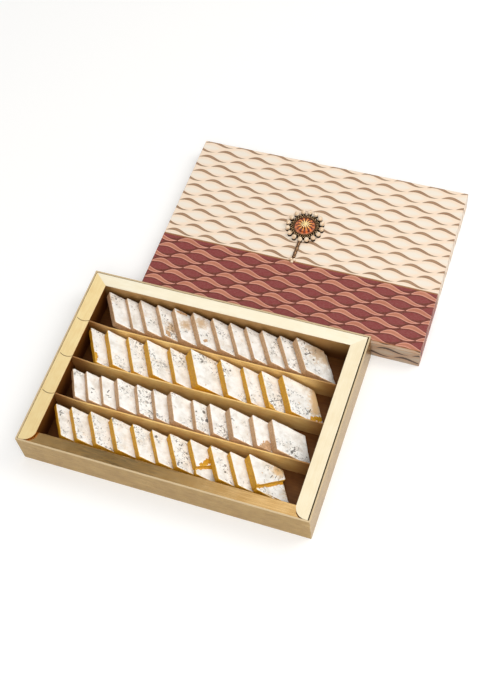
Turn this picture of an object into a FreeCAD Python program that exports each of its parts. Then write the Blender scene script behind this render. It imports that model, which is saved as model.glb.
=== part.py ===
"""Sweet box: a folded card tray with four rows of shingled slices, and a printed lid with a brooch.

The origin is the middle of the tray's underside, +X runs along the rows, +Y to the back and +Z up.
The lid is shown taken off: it lies the right way up on the same surface, behind the tray.
"""
import FreeCAD, Part
import itertools
import math
import os

X_AXIS = FreeCAD.Vector(1, 0, 0)
Y_AXIS = FreeCAD.Vector(0, 1, 0)
Z_AXIS = FreeCAD.Vector(0, 0, 1)

# Outer tray
TRAY_LENGTH = 280.0
TRAY_DEPTH = 193.0
TRAY_HEIGHT = 37.0
TRAY_CARD = 1.5
TRAY_EDGE_RADIUS = 0.5
LINER_PAD = 4.2

# Folded rim panels
INSERT_CARD = 1.0
RIM_RECESS = 0.4
END_RIM_WIDTH = 14.5
SIDE_RIM_WIDTH = 12.5
END_OVERHANG = 2.5
RIM_CLEARANCE = 0.3
RIGHT_RIM_CLEARANCE = 1.2
LAP_CLEARANCE = 0.2
FRONT_FLAP_DROP = 2.2
FLAP_END_RADIUS = 11.0
FOLD_RADIUS = 0.5

# Curved slits across the left flap
SLIT_WIDTH = 0.6
SLIT_SAG = 2.2
SLIT_BRIDGE = 1.5

# Dividers, which part the tray into equal channels
DIVIDER_COUNT = 3
DIVIDER_CARD = 1.0
DIVIDER_TOP = 31.0
DIVIDER_END_RISE = 4.0
DIVIDER_RAMP = 22.0
DIVIDER_END_GAP = 0.3
EAR_REACH = 6.0
EAR_BOTTOM = 19.0
EAR_HEIGHT = 7.0
EAR_CLEARANCE = 0.3

# Slices: their length along the row in plan, and the room round them
SLICE_RUN = 31.5
SLICE_GAP = 0.2
SLICE_SEAT_GAP = 0.2
SLICE_END_GAP = 0.2
SLICE_CORNER_RADIUS = 1.2

# Rows from the back to the front: room at the left, behind and before, how much higher a row begins than
# it ends, angles in degrees, thicknesses from the left
ROW_START_PLAY = (1.75, 0.6, 2.1, 1.3)
ROW_BACK_PLAY = (1.2, 1.2, 7.2, 5.0)
ROW_FRONT_PLAY = (5.0, 0.6, 2.1, 2.8)
ROW_RISE = 2.0
ROW_SKEW_DEGREES = (32.0, 30.0, 27.0, 32.0)
ROW_LEAN_DEGREES = (31.0, 30.5, 31.0, 31.0)
ROW_1_THICKNESS = (8.3, 5.7, 7.6, 7.0, 8.2, 8.6, 7.6, 6.8, 6.5, 7.6, 6.3, 9.3)
ROW_2_THICKNESS = (6.9, 9.4, 7.7, 10.4, 8.0, 13.4, 9.9, 7.5, 8.2, 10.2)
ROW_3_THICKNESS = (5.9, 6.8, 6.6, 9.1, 7.5, 6.9, 10.4, 7.0, 8.1, 10.2, 8.0, 9.6)
ROW_4_THICKNESS = (6.4, 7.9, 8.8, 9.1, 8.1, 7.1, 8.3, 8.3, 7.9, 6.9, 10.7)

# Lid
LID_BOARD = 1.0
LID_CLEARANCE = 0.5
LID_PAPER = 0.3
LID_HEIGHT = 22.0
LID_EDGE_RADIUS = 0.6
LID_PAPER_HEM = 0.3
LID_FRONT_LAP = 2.8
LID_BAND_DEPTH = 70.0
LID_OFFSET_X = 44.5
LID_STANDOFF = 2.0

# Brooch: its place along the lid from the middle, and how far its foot reaches past the band's edge
BROOCH_X = -5.0
BROOCH_FOOT_LAP = 3.2
PEARL_COUNT = 16
PEARL_RADIUS = 2.5
PEARL_RING_RADIUS = 17.3
PLATE_THICKNESS = 0.8
PLATE_RADIUS = 15.5
LOBE_RADIUS = 2.3
CUP_RADIUS = 1.9
CUP_HEIGHT = 0.9
CUP_FLOOR = 0.2
CUP_CLEARANCE = 0.05
GEM_SIDES = 16
GEM_RADIUS = 10.2
GEM_GIRDLE_HEIGHT = 2.0
GEM_CROWN_HEIGHT = 2.8
GEM_TABLE_RADIUS = 3.4
BEZEL_CLEARANCE = 0.2
BEZEL_WALL = 1.4
BEZEL_HEIGHT = 2.6
FILIGREE_CLEARANCE = 0.2
FILIGREE_WIDTH = 2.3
FILIGREE_HEIGHT = 1.4
FILIGREE_HOLE_RADIUS = 0.75
GRANULE_RADIUS = 0.6
STEM_LENGTH = 20.0
STEM_RADIUS = 1.1
STEM_COLLAR_RADIUS = 1.8
STEM_GAP = 0.2
FOOT_BEAD_RADIUS = 1.6
FOOT_BEAD_GAP = 0.1

# Worked out from the sizes above
FLOOR_TOP = TRAY_CARD
LINER_TOP = FLOOR_TOP + LINER_PAD
FLAP_TOP = TRAY_HEIGHT - RIM_RECESS
FRONT_FLAP_TOP = FLAP_TOP - INSERT_CARD - LAP_CLEARANCE
INNER_X = TRAY_LENGTH / 2 - TRAY_CARD
INNER_Y = TRAY_DEPTH / 2 - TRAY_CARD
OPENING_X = INNER_X - END_RIM_WIDTH
OPENING_Y = INNER_Y - SIDE_RIM_WIDTH
WALL_X = OPENING_X + END_OVERHANG
RIM_Y = INNER_Y - RIM_CLEARANCE
LEFT_RIM_X = INNER_X - RIM_CLEARANCE
RIGHT_RIM_X = INNER_X - RIGHT_RIM_CLEARANCE
LID_INNER_LENGTH = TRAY_LENGTH + 2 * LID_CLEARANCE
LID_INNER_DEPTH = TRAY_DEPTH + 2 * LID_CLEARANCE
LID_SHELL = LID_BOARD + LID_PAPER
LID_X = LID_OFFSET_X
LID_Y = TRAY_DEPTH / 2 + LID_STANDOFF + LID_INNER_DEPTH / 2 + LID_SHELL
LID_FRONT = -LID_INNER_DEPTH / 2 - LID_SHELL
BAND_EDGE = LID_FRONT + LID_BAND_DEPTH
STEM_START = PEARL_RING_RADIUS + LOBE_RADIUS + STEM_GAP
FOOT_SPREAD = FOOT_BEAD_RADIUS + FOOT_BEAD_GAP / 2
FOOT_FIRST = STEM_START + STEM_LENGTH + FOOT_BEAD_GAP + FOOT_BEAD_RADIUS
FOOT_LAST = FOOT_FIRST + 2 * FOOT_SPREAD * math.sin(math.pi / 3)
BROOCH_Y = BAND_EDGE - BROOCH_FOOT_LAP + FOOT_LAST + FOOT_BEAD_RADIUS
BROOCH_CENTRE = FreeCAD.Vector(LID_X + BROOCH_X, LID_Y + BROOCH_Y, LID_HEIGHT)
CHANNEL_PITCH = 2 * OPENING_Y / (DIVIDER_COUNT + 1)
DIVIDER_Y = [OPENING_Y - CHANNEL_PITCH * step for step in range(1, DIVIDER_COUNT + 1)]
ROW_BACK = [OPENING_Y] + [divider_y - DIVIDER_CARD / 2 for divider_y in DIVIDER_Y]
ROW_FRONT = [divider_y + DIVIDER_CARD / 2 for divider_y in DIVIDER_Y] + [-OPENING_Y]
ROW_THICKNESS = (ROW_1_THICKNESS, ROW_2_THICKNESS, ROW_3_THICKNESS, ROW_4_THICKNESS)


def vector(x, y, z=0.0):
    return FreeCAD.Vector(x, y, z)


def block(low, high):
    size = high - low
    return Part.makeBox(size.x, size.y, size.z, low)


def prism(outline, height):
    """Extrude a closed outline of points upwards."""
    wire = Part.makePolygon(list(outline) + [outline[0]])
    return Part.Face(wire).extrude(Z_AXIS * height)


def edges_at(solid, test):
    return [edge for edge in solid.Edges if test(edge)]


def is_upright(edge):
    ends = [vertex.Point for vertex in edge.Vertexes]
    return len(ends) == 2 and (ends[1] - ends[0]).getAngle(Z_AXIS) % math.pi < 1e-6


def runs_along(edge, axis, *planes):
    """Say whether an edge lies along an axis and in each (axis name, value) plane."""
    ends = [vertex.Point for vertex in edge.Vertexes]
    if len(ends) != 2 or (ends[1] - ends[0]).getAngle(axis) % math.pi > 1e-6:
        return False
    return all(abs(getattr(ends[0], name) - value) < 1e-6 for name, value in planes)


def outer_tray():
    outer = block(vector(-TRAY_LENGTH / 2, -TRAY_DEPTH / 2), vector(TRAY_LENGTH / 2, TRAY_DEPTH / 2, TRAY_HEIGHT))
    outer = outer.makeFillet(TRAY_EDGE_RADIUS, edges_at(outer, is_upright))
    hollow = block(vector(-INNER_X, -INNER_Y, FLOOR_TOP), vector(INNER_X, INNER_Y, TRAY_HEIGHT + FLOOR_TOP))
    return outer.cut(hollow)


def floor_liner():
    return block(vector(-WALL_X, -OPENING_Y, FLOOR_TOP), vector(WALL_X, OPENING_Y, LINER_TOP))


def insert_back():
    """Fold a flap and a wall, and mitre both ends to meet the end panels."""
    section = (
        vector(0, OPENING_Y, FLOOR_TOP),
        vector(0, OPENING_Y + INSERT_CARD, FLOOR_TOP),
        vector(0, OPENING_Y + INSERT_CARD, FLAP_TOP - INSERT_CARD),
        vector(0, RIM_Y, FLAP_TOP - INSERT_CARD),
        vector(0, RIM_Y, FLAP_TOP),
        vector(0, OPENING_Y, FLAP_TOP),
    )
    face = Part.Face(Part.makePolygon(list(section) + [section[0]]))
    panel = face.extrude(X_AXIS * TRAY_LENGTH).translated(X_AXIS * (-TRAY_LENGTH / 2))
    fold = edges_at(panel, lambda edge: runs_along(edge, X_AXIS, ("y", OPENING_Y), ("z", FLAP_TOP)))
    panel = panel.makeFillet(FOLD_RADIUS, fold)
    plan = (
        vector(-OPENING_X, OPENING_Y),
        vector(OPENING_X, OPENING_Y),
        vector(RIGHT_RIM_X, RIM_Y),
        vector(-LEFT_RIM_X, RIM_Y),
    )
    flap_bottom = FLAP_TOP - INSERT_CARD
    flap_zone = prism(plan, INSERT_CARD).translated(Z_AXIS * flap_bottom)
    wall_zone = block(vector(-WALL_X, OPENING_Y, FLOOR_TOP), vector(WALL_X, OPENING_Y + INSERT_CARD, flap_bottom))
    return panel.common(flap_zone.fuse(wall_zone)).removeSplitter()


def insert_front():
    """Fold a flap that slopes down to the opening, low enough to pass under the end flaps."""
    lip = FRONT_FLAP_TOP - FRONT_FLAP_DROP
    section = (
        vector(0, -OPENING_Y, FLOOR_TOP),
        vector(0, -OPENING_Y, lip),
        vector(0, -RIM_Y, FRONT_FLAP_TOP),
        vector(0, -RIM_Y, FRONT_FLAP_TOP - INSERT_CARD),
        vector(0, -OPENING_Y - INSERT_CARD, lip - INSERT_CARD),
        vector(0, -OPENING_Y - INSERT_CARD, FLOOR_TOP),
    )
    face = Part.Face(Part.makePolygon(list(section) + [section[0]]))
    width = LEFT_RIM_X + RIGHT_RIM_X
    panel = face.extrude(X_AXIS * width).translated(X_AXIS * (-LEFT_RIM_X))
    fold = edges_at(panel, lambda edge: runs_along(edge, X_AXIS, ("y", -OPENING_Y), ("z", lip)))
    return panel.makeFillet(FOLD_RADIUS, fold)


def end_flap(rim_x):
    """Make the right-hand flap: mitred at the back, with a round end over the front panel."""
    radius = min(FLAP_END_RADIUS, rim_x - OPENING_X - FOLD_RADIUS)
    centre = vector(OPENING_X + radius, -RIM_Y + radius)
    shoulder = vector(OPENING_X, centre.y)
    toe = vector(centre.x, -RIM_Y)
    middle = centre + vector(-radius, -radius) * math.sqrt(0.5)
    mitre_inner = vector(OPENING_X, OPENING_Y)
    mitre_outer = vector(rim_x, RIM_Y)
    front_outer = vector(rim_x, -RIM_Y)
    wire = Part.Wire([
        Part.makeLine(mitre_inner, shoulder),
        Part.Arc(shoulder, middle, toe).toShape(),
        Part.makeLine(toe, front_outer),
        Part.makeLine(front_outer, mitre_outer),
        Part.makeLine(mitre_outer, mitre_inner),
    ])
    return Part.Face(wire).extrude(Z_AXIS * INSERT_CARD).translated(Z_AXIS * (FLAP_TOP - INSERT_CARD))


def ear_slot(divider_y):
    half = DIVIDER_CARD / 2 + EAR_CLEARANCE
    low = vector(WALL_X - INSERT_CARD, divider_y - half, EAR_BOTTOM - EAR_CLEARANCE)
    high = vector(WALL_X + 2 * INSERT_CARD, divider_y + half, EAR_BOTTOM + EAR_HEIGHT + EAR_CLEARANCE)
    return block(low, high)


def end_panel(rim_x):
    """Make the right-hand end panel: flap and slotted inner wall."""
    wall_low = vector(WALL_X, -OPENING_Y, FLOOR_TOP)
    wall_high = vector(WALL_X + INSERT_CARD, OPENING_Y, FLAP_TOP - INSERT_CARD)
    panel = end_flap(rim_x).fuse(block(wall_low, wall_high))
    for divider_y in DIVIDER_Y:
        panel = panel.cut(ear_slot(divider_y))
    return panel.removeSplitter()


def slit(divider_y):
    """Make the curved cut across the left flap, from the opening towards the tray's wall."""
    inner = vector(-OPENING_X + SLIT_WIDTH, divider_y)
    outer = vector(-LEFT_RIM_X + SLIT_BRIDGE, divider_y)
    middle = (inner + outer) * 0.5 - Y_AXIS * SLIT_SAG
    step = Y_AXIS * SLIT_WIDTH
    wire = Part.Wire([
        Part.Arc(inner, middle, outer).toShape(),
        Part.makeLine(outer, outer - step),
        Part.Arc(outer - step, middle - step, inner - step).toShape(),
        Part.makeLine(inner - step, inner),
    ])
    return Part.Face(wire).extrude(Z_AXIS * INSERT_CARD).translated(Z_AXIS * (FLAP_TOP - INSERT_CARD))


def insert_right():
    return end_panel(RIGHT_RIM_X)


def insert_left():
    panel = end_panel(LEFT_RIM_X).mirror(vector(0, 0), X_AXIS)
    for divider_y in DIVIDER_Y:
        panel = panel.cut(slit(divider_y))
    return panel


def divider(divider_y):
    """Make a card divider whose ears pass through the end panels and whose left end rises."""
    end = WALL_X - DIVIDER_END_GAP
    ear_end = WALL_X + INSERT_CARD + EAR_REACH
    ear_top = EAR_BOTTOM + EAR_HEIGHT
    outline = (
        vector(-end, 0, LINER_TOP),
        vector(end, 0, LINER_TOP),
        vector(end, 0, EAR_BOTTOM),
        vector(ear_end, 0, EAR_BOTTOM),
        vector(ear_end, 0, ear_top),
        vector(end, 0, ear_top),
        vector(end, 0, DIVIDER_TOP),
        vector(-end + DIVIDER_RAMP, 0, DIVIDER_TOP),
        vector(-end, 0, DIVIDER_TOP + DIVIDER_END_RISE),
        vector(-end, 0, ear_top),
        vector(-ear_end, 0, ear_top),
        vector(-ear_end, 0, EAR_BOTTOM),
        vector(-end, 0, EAR_BOTTOM),
    )
    face = Part.Face(Part.makePolygon(list(outline) + [outline[0]]))
    return face.extrude(Y_AXIS * DIVIDER_CARD).translated(Y_AXIS * (divider_y - DIVIDER_CARD / 2))


def slice_plate(width, skew, lean, thickness):
    """Make a flat diamond slice whose back left corner is at the origin, top face up."""
    edge = width / math.cos(skew)
    shift = SLICE_RUN * math.sin(skew)
    reach = SLICE_RUN * math.cos(skew) / math.cos(lean)
    outline = (vector(0, 0), vector(0, -edge), vector(reach, -edge - shift), vector(reach, -shift))
    plate = prism(outline, thickness).translated(Z_AXIS * -thickness)
    return plate.makeFillet(SLICE_CORNER_RADIUS, edges_at(plate, is_upright))


def row_solids(row):
    """Lean slices on each other from the left wall on, until no more fit before the right flap."""
    skew = math.radians(ROW_SKEW_DEGREES[row])
    lean = math.radians(ROW_LEAN_DEGREES[row])
    normal = vector(math.sin(lean) * math.cos(skew), math.sin(lean) * math.sin(skew), math.cos(lean))
    turn = FreeCAD.Rotation(Z_AXIS, ROW_SKEW_DEGREES[row]) * FreeCAD.Rotation(Y_AXIS, ROW_LEAN_DEGREES[row])
    drop = SLICE_RUN * math.cos(skew) * math.tan(lean)
    slope = ROW_RISE / (2 * OPENING_X)
    low_x = -WALL_X + ROW_START_PLAY[row]
    low_y = ROW_BACK[row] - ROW_BACK_PLAY[row] - max(ROW_THICKNESS[row]) * normal.y
    width = low_y - ROW_FRONT[row] - ROW_FRONT_PLAY[row]
    reach = SLICE_RUN + width * math.tan(skew)
    solids = []
    for thickness in itertools.cycle(ROW_THICKNESS[row]):
        if low_x + thickness * normal.x + reach > OPENING_X - SLICE_END_GAP:
            break
        seat = LINER_TOP + SLICE_SEAT_GAP + slope * (OPENING_X - low_x)
        low_corner = vector(low_x, low_y, seat + drop)
        plate = slice_plate(width, skew, lean, thickness)
        plate.Placement = FreeCAD.Placement(low_corner + normal * thickness, turn)
        solids.append(plate)
        low_x += (thickness + SLICE_GAP) / (normal.x - slope * normal.z)
    return solids


def lid_shell(wall_outside, top_outside, bottom):
    """Make a lid-shaped shell whose inside fits over the tray with the given wall outside it."""
    outer_x = LID_INNER_LENGTH / 2 + wall_outside
    outer_y = LID_INNER_DEPTH / 2 + wall_outside
    return block(vector(-outer_x, -outer_y, bottom), vector(outer_x, outer_y, top_outside))


def lid_board():
    board_top = LID_HEIGHT - LID_PAPER
    outer = lid_shell(LID_BOARD, board_top, 0.0)
    hollow = lid_shell(0.0, board_top - LID_BOARD, -LID_BOARD)
    return outer.cut(hollow).translated(vector(LID_X, LID_Y))


def lid_paper(low_y, high_y):
    """Cut one stretch, along Y, out of the paper skin that covers the board."""
    skin = lid_shell(LID_SHELL, LID_HEIGHT, LID_PAPER_HEM)
    skin = skin.makeFillet(LID_EDGE_RADIUS, edges_at(skin, lambda edge: edge.BoundBox.ZMax > LID_HEIGHT / 2))
    skin = skin.cut(lid_shell(LID_BOARD, LID_HEIGHT - LID_PAPER, -LID_BOARD))
    half = LID_INNER_LENGTH / 2 + LID_SHELL
    stretch = block(vector(-half, low_y, 0), vector(half, high_y, LID_HEIGHT))
    return skin.common(stretch).translated(vector(LID_X, LID_Y))


def ring_points(radius, count, turn=0.0):
    """List points round the brooch, the first one towards the front."""
    angles = [2 * math.pi * (step + turn) / count - math.pi / 2 for step in range(count)]
    return [vector(radius * math.cos(angle), radius * math.sin(angle)) for angle in angles]


def on_lid(shape):
    return shape.translated(BROOCH_CENTRE)


def brooch_plate():
    plate = Part.makeCylinder(PLATE_RADIUS, PLATE_THICKNESS)
    for point in ring_points(PEARL_RING_RADIUS, PEARL_COUNT):
        plate = plate.fuse(Part.makeCylinder(LOBE_RADIUS, PLATE_THICKNESS, point))
    return on_lid(plate.removeSplitter())


def brooch_gem():
    """Loft the stone's girdle and crown between regular polygons."""
    girdle_top = PLATE_THICKNESS + GEM_GIRDLE_HEIGHT
    levels = (
        (GEM_RADIUS, PLATE_THICKNESS),
        (GEM_RADIUS, girdle_top),
        (GEM_TABLE_RADIUS, girdle_top + GEM_CROWN_HEIGHT),
    )
    wires = []
    for radius, height in levels:
        corners = [point + Z_AXIS * height for point in ring_points(radius, GEM_SIDES)]
        wires.append(Part.makePolygon(corners + [corners[0]]))
    return on_lid(Part.makeLoft(wires, True, True))


def revolved(section, axis):
    face = Part.Face(Part.makePolygon(list(section) + [section[0]]))
    return face.revolve(vector(0, 0), axis, 360)


def brooch_bezel():
    inner = GEM_RADIUS + BEZEL_CLEARANCE
    outer = inner + BEZEL_WALL
    top = PLATE_THICKNESS + BEZEL_HEIGHT
    section = (
        vector(inner, 0, PLATE_THICKNESS),
        vector(outer, 0, PLATE_THICKNESS),
        vector(outer, 0, top - BEZEL_WALL / 2),
        vector(outer - BEZEL_WALL / 2, 0, top),
        vector(inner, 0, top),
    )
    return on_lid(revolved(section, Z_AXIS))


def brooch_filigree():
    inner = GEM_RADIUS + BEZEL_CLEARANCE + BEZEL_WALL + FILIGREE_CLEARANCE
    outer = inner + FILIGREE_WIDTH
    middle = (inner + outer) / 2
    seat = Z_AXIS * PLATE_THICKNESS
    ring = Part.makeCylinder(outer, FILIGREE_HEIGHT, seat).cut(Part.makeCylinder(inner, FILIGREE_HEIGHT, seat))
    for point in ring_points(middle, PEARL_COUNT):
        ring = ring.cut(Part.makeCylinder(FILIGREE_HOLE_RADIUS, FILIGREE_HEIGHT, point + seat))
    for point in ring_points(middle, PEARL_COUNT, 0.5):
        ring = ring.fuse(Part.makeSphere(GRANULE_RADIUS, point + seat + Z_AXIS * FILIGREE_HEIGHT))
    return on_lid(ring)


def pearl_lift():
    return PLATE_THICKNESS + CUP_FLOOR + PEARL_RADIUS


def brooch_pearl_cups():
    cups = []
    for point in ring_points(PEARL_RING_RADIUS, PEARL_COUNT):
        cup = Part.makeCylinder(CUP_RADIUS, CUP_HEIGHT, point + Z_AXIS * PLATE_THICKNESS)
        seat = Part.makeSphere(PEARL_RADIUS + CUP_CLEARANCE, point + Z_AXIS * pearl_lift())
        cups.append(on_lid(cup.cut(seat)))
    return Part.makeCompound(cups)


def brooch_pearls():
    ring = ring_points(PEARL_RING_RADIUS, PEARL_COUNT)
    return Part.makeCompound([on_lid(Part.makeSphere(PEARL_RADIUS, point + Z_AXIS * pearl_lift())) for point in ring])


def brooch_stem():
    """Turn a stem with a collar at each end and a flat on the lid's side."""
    near = -STEM_START
    far = near - STEM_LENGTH
    collar = STEM_COLLAR_RADIUS
    section = (
        vector(0, near),
        vector(collar, near),
        vector(STEM_RADIUS, near - collar),
        vector(STEM_RADIUS, far + collar),
        vector(collar, far),
        vector(0, far),
    )
    rod = revolved(section, Y_AXIS).translated(Z_AXIS * STEM_RADIUS)
    above = block(vector(-collar, far, 0), vector(collar, near, STEM_RADIUS + collar))
    return on_lid(rod.common(above))


def brooch_foot_beads():
    lift = Z_AXIS * (FOOT_BEAD_RADIUS + FOOT_BEAD_GAP)
    places = (vector(-FOOT_SPREAD, -FOOT_FIRST), vector(FOOT_SPREAD, -FOOT_FIRST), vector(0, -FOOT_LAST))
    return Part.makeCompound([on_lid(Part.makeSphere(FOOT_BEAD_RADIUS, place + lift)) for place in places])


def build():
    nodes = {
        "outer_tray": outer_tray(),
        "floor_liner": floor_liner(),
        "insert_back": insert_back(),
        "insert_front": insert_front(),
        "insert_left": insert_left(),
        "insert_right": insert_right(),
    }
    for number, divider_y in enumerate(DIVIDER_Y, start=1):
        nodes[f"divider_{number}"] = divider(divider_y)
    for row in range(len(ROW_THICKNESS)):
        solids = row_solids(row)
        nodes[f"row_{row + 1}_slices"] = Part.makeCompound(solids[:-1])
        nodes[f"row_{row + 1}_end_slice"] = solids[-1]
    nodes["lid_board"] = lid_board()
    nodes["lid_paper_cream"] = lid_paper(BAND_EDGE, -LID_FRONT)
    nodes["lid_paper_maroon"] = lid_paper(LID_FRONT + LID_FRONT_LAP, BAND_EDGE)
    nodes["lid_paper_front"] = lid_paper(LID_FRONT, LID_FRONT + LID_FRONT_LAP)
    nodes["brooch_plate"] = brooch_plate()
    nodes["brooch_gem"] = brooch_gem()
    nodes["brooch_bezel"] = brooch_bezel()
    nodes["brooch_filigree"] = brooch_filigree()
    nodes["brooch_pearl_cups"] = brooch_pearl_cups()
    nodes["brooch_pearls"] = brooch_pearls()
    nodes["brooch_stem"] = brooch_stem()
    nodes["brooch_foot_beads"] = brooch_foot_beads()
    return nodes


os.makedirs("parts", exist_ok=True)
for node, shape in build().items():
    shape.exportStep(f"parts/{node}.step")
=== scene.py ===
"""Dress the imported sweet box: a foil card tray, leaf-covered slices, a printed lid and its brooch."""

import logging
import math
import random
from dataclasses import dataclass, field
from enum import Enum
from functools import cache

import bpy
from mathutils import Matrix, Vector


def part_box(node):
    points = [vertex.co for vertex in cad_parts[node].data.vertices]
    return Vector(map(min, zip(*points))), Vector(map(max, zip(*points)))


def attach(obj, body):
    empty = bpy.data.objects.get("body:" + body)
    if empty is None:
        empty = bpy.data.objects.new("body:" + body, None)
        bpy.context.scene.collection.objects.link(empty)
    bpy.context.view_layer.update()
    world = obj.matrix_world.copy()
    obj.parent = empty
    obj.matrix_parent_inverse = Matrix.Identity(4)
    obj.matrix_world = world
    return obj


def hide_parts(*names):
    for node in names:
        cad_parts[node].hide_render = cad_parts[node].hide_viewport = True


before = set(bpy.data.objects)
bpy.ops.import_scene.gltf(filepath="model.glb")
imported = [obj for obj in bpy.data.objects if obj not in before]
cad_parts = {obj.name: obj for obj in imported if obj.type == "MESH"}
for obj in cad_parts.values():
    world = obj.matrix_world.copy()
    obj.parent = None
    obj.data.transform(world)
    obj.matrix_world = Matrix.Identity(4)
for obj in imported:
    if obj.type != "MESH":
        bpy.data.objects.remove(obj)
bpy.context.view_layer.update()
LOG = logging.getLogger("sweet_box")
MM_PER_M = 1000.0
WELD = 0.000002
ORIGIN = (0.0, 0.0, 0.0)

Colour = tuple[float, float, float, float]
Socket = bpy.types.NodeSocket
Feed = Socket | float | tuple


def shown(red: int, green: int, blue: int) -> Colour:
    """Turn a colour as it shows on screen, 0 to 255, into the linear colour that shaders take."""
    linear = [(c / 255 / 12.92) if c < 11 else ((c / 255 + 0.055) / 1.055) ** 2.4 for c in (red, green, blue)]
    return (linear[0], linear[1], linear[2], 1.0)


class NodeSheet:
    """Adds, sets and links the shader nodes of one node tree."""

    def __init__(self, tree: bpy.types.NodeTree) -> None:
        """Keep the tree that nodes go into."""
        self.tree = tree

    def add(self, kind: str, **settings: object) -> bpy.types.Node:
        """Add a node.

        Args:
            kind: The node's type name.
            **settings: Properties to set on the node.

        Returns:
            The new node.
        """
        node = self.tree.nodes.new(kind)
        for name, value in settings.items():
            setattr(node, name, value)
        return node

    def feed(self, socket: Socket, value: Feed) -> None:
        """Link an output to a socket, or set the socket's own value.

        Args:
            socket: The input to feed.
            value: An output to link, or a plain value.
        """
        if isinstance(value, bpy.types.NodeSocket):
            self.tree.links.new(value, socket)
        else:
            socket.default_value = value

    def fill(self, node: bpy.types.Node, **values: Feed) -> None:
        """Feed several inputs of a node, with _ for each space in a name."""
        for name, value in values.items():
            self.feed(node.inputs[name.replace("_", " ")], value)

    def place(self) -> Socket:
        """Return the piece's own coordinates, in metres."""
        return self.add("ShaderNodeTexCoord").outputs["Object"]

    def normal(self) -> Socket:
        """Return the direction that the surface faces."""
        return self.add("ShaderNodeNewGeometry").outputs["Normal"]

    def weigh(self, first: Feed, first_share: float, second: Feed, second_share: float) -> Socket:
        """Add two values, each by its share."""
        return self.math("MULTIPLY_ADD", first, first_share, self.math("MULTIPLY", second, second_share))

    def apart(self, first: Feed, second: Feed) -> Socket:
        """Return how far apart two values are."""
        return self.math("ABSOLUTE", self.math("SUBTRACT", first, second))

    def repeat(self, value: Feed, origin: Feed, pitch: Feed) -> Socket:
        """Measure from the nearest of evenly spaced points.

        Args:
            value: What is measured.
            origin: One of the points.
            pitch: From one point to the next.

        Returns:
            The signed distance to the nearest point.
        """
        turn = self.math("DIVIDE", self.math("SUBTRACT", value, origin), pitch)
        local = self.math("SUBTRACT", self.math("FRACT", self.math("ADD", turn, 0.5)), 0.5)
        return self.math("MULTIPLY", local, pitch)

    def math(self, operation: str, first: Feed, second: Feed = 0.0, third: Feed = 0.0) -> Socket:
        """Add a Math node.

        Args:
            operation: The node's operation.
            first: First operand.
            second: Second operand.
            third: Third operand.

        Returns:
            The result.
        """
        node = self.add("ShaderNodeMath", operation=operation)
        for socket, value in zip(node.inputs, (first, second, third)):
            self.feed(socket, value)
        return node.outputs[0]

    def vector(self, operation: str, first: Feed, second: Feed = ORIGIN, output: str = "Vector") -> Socket:
        """Add a Vector Math node.

        Args:
            operation: The node's operation.
            first: First vector.
            second: Second vector.
            output: Which of the node's outputs is wanted.

        Returns:
            The result.
        """
        node = self.add("ShaderNodeVectorMath", operation=operation)
        self.feed(node.inputs[0], first)
        self.feed(node.inputs[1], second)
        return node.outputs[output]

    def split(self, value: Socket) -> tuple[Socket, Socket, Socket]:
        """Part a vector into its three numbers.

        Args:
            value: The vector.

        Returns:
            Its x, y and z.
        """
        node = self.add("ShaderNodeSeparateXYZ")
        self.feed(node.inputs[0], value)
        return node.outputs[0], node.outputs[1], node.outputs[2]

    def step(self, value: Feed, low: Feed, high: Feed, start: float = 0.0, end: float = 1.0) -> Socket:
        """Ramp smoothly between two values.

        Args:
            value: What drives the ramp.
            low: Where the ramp begins.
            high: Where the ramp ends.
            start: The result at and before low.
            end: The result at and past high.

        Returns:
            The ramp's value.
        """
        node = self.add("ShaderNodeMapRange", interpolation_type="SMOOTHSTEP", clamp=True)
        self.fill(node, Value=value, From_Min=low, From_Max=high, To_Min=start, To_Max=end)
        return node.outputs["Result"]

    def mix(self, share: Feed, first: Feed, second: Feed) -> Socket:
        """Blend two colours.

        Args:
            share: How much of the second colour shows.
            first: Colour at share 0.
            second: Colour at share 1.

        Returns:
            The blended colour.
        """
        node = self.add("ShaderNodeMix", data_type="RGBA")
        self.feed(node.inputs[0], share)
        self.feed(node.inputs[6], first)
        self.feed(node.inputs[7], second)
        return node.outputs[2]

    def noise(self, place: Socket, scale: float, detail: float = 3.0, roughness: float = 0.55) -> Socket:
        """Add a noise texture.

        Args:
            place: Coordinates in metres.
            scale: Features for each metre.
            detail: Octaves.
            roughness: How strong the finer octaves are.

        Returns:
            The noise value.
        """
        node = self.add("ShaderNodeTexNoise")
        self.fill(node, Vector=place, Scale=scale, Detail=detail, Roughness=roughness)
        return node.outputs[0]

    def cells(self, place: Socket, scale: float) -> Socket:
        """Add a Voronoi texture.

        Args:
            place: Coordinates in metres.
            scale: Cells for each metre.

        Returns:
            The distance to the nearest cell's point.
        """
        node = self.add("ShaderNodeTexVoronoi")
        self.fill(node, Vector=place, Scale=scale)
        return node.outputs["Distance"]

    def group(self, tree: bpy.types.NodeTree, **values: Feed) -> bpy.types.Node:
        """Place a shared effect.

        Args:
            tree: The effect's node group.
            **values: The group's inputs, with _ for each space in a name.

        Returns:
            The group node.
        """
        node = self.add("ShaderNodeGroup", node_tree=tree)
        self.fill(node, **values)
        return node

    def bump(self, height: Socket, strength: float, depth: float) -> Socket:
        """Add a Bump node.

        Args:
            height: The relief, 0 to 1.
            strength: How much of it shows.
            depth: The relief's depth in metres.

        Returns:
            The bent normal.
        """
        node = self.add("ShaderNodeBump")
        self.fill(node, Strength=strength, Distance=depth, Height=height)
        return node.outputs["Normal"]


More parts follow.
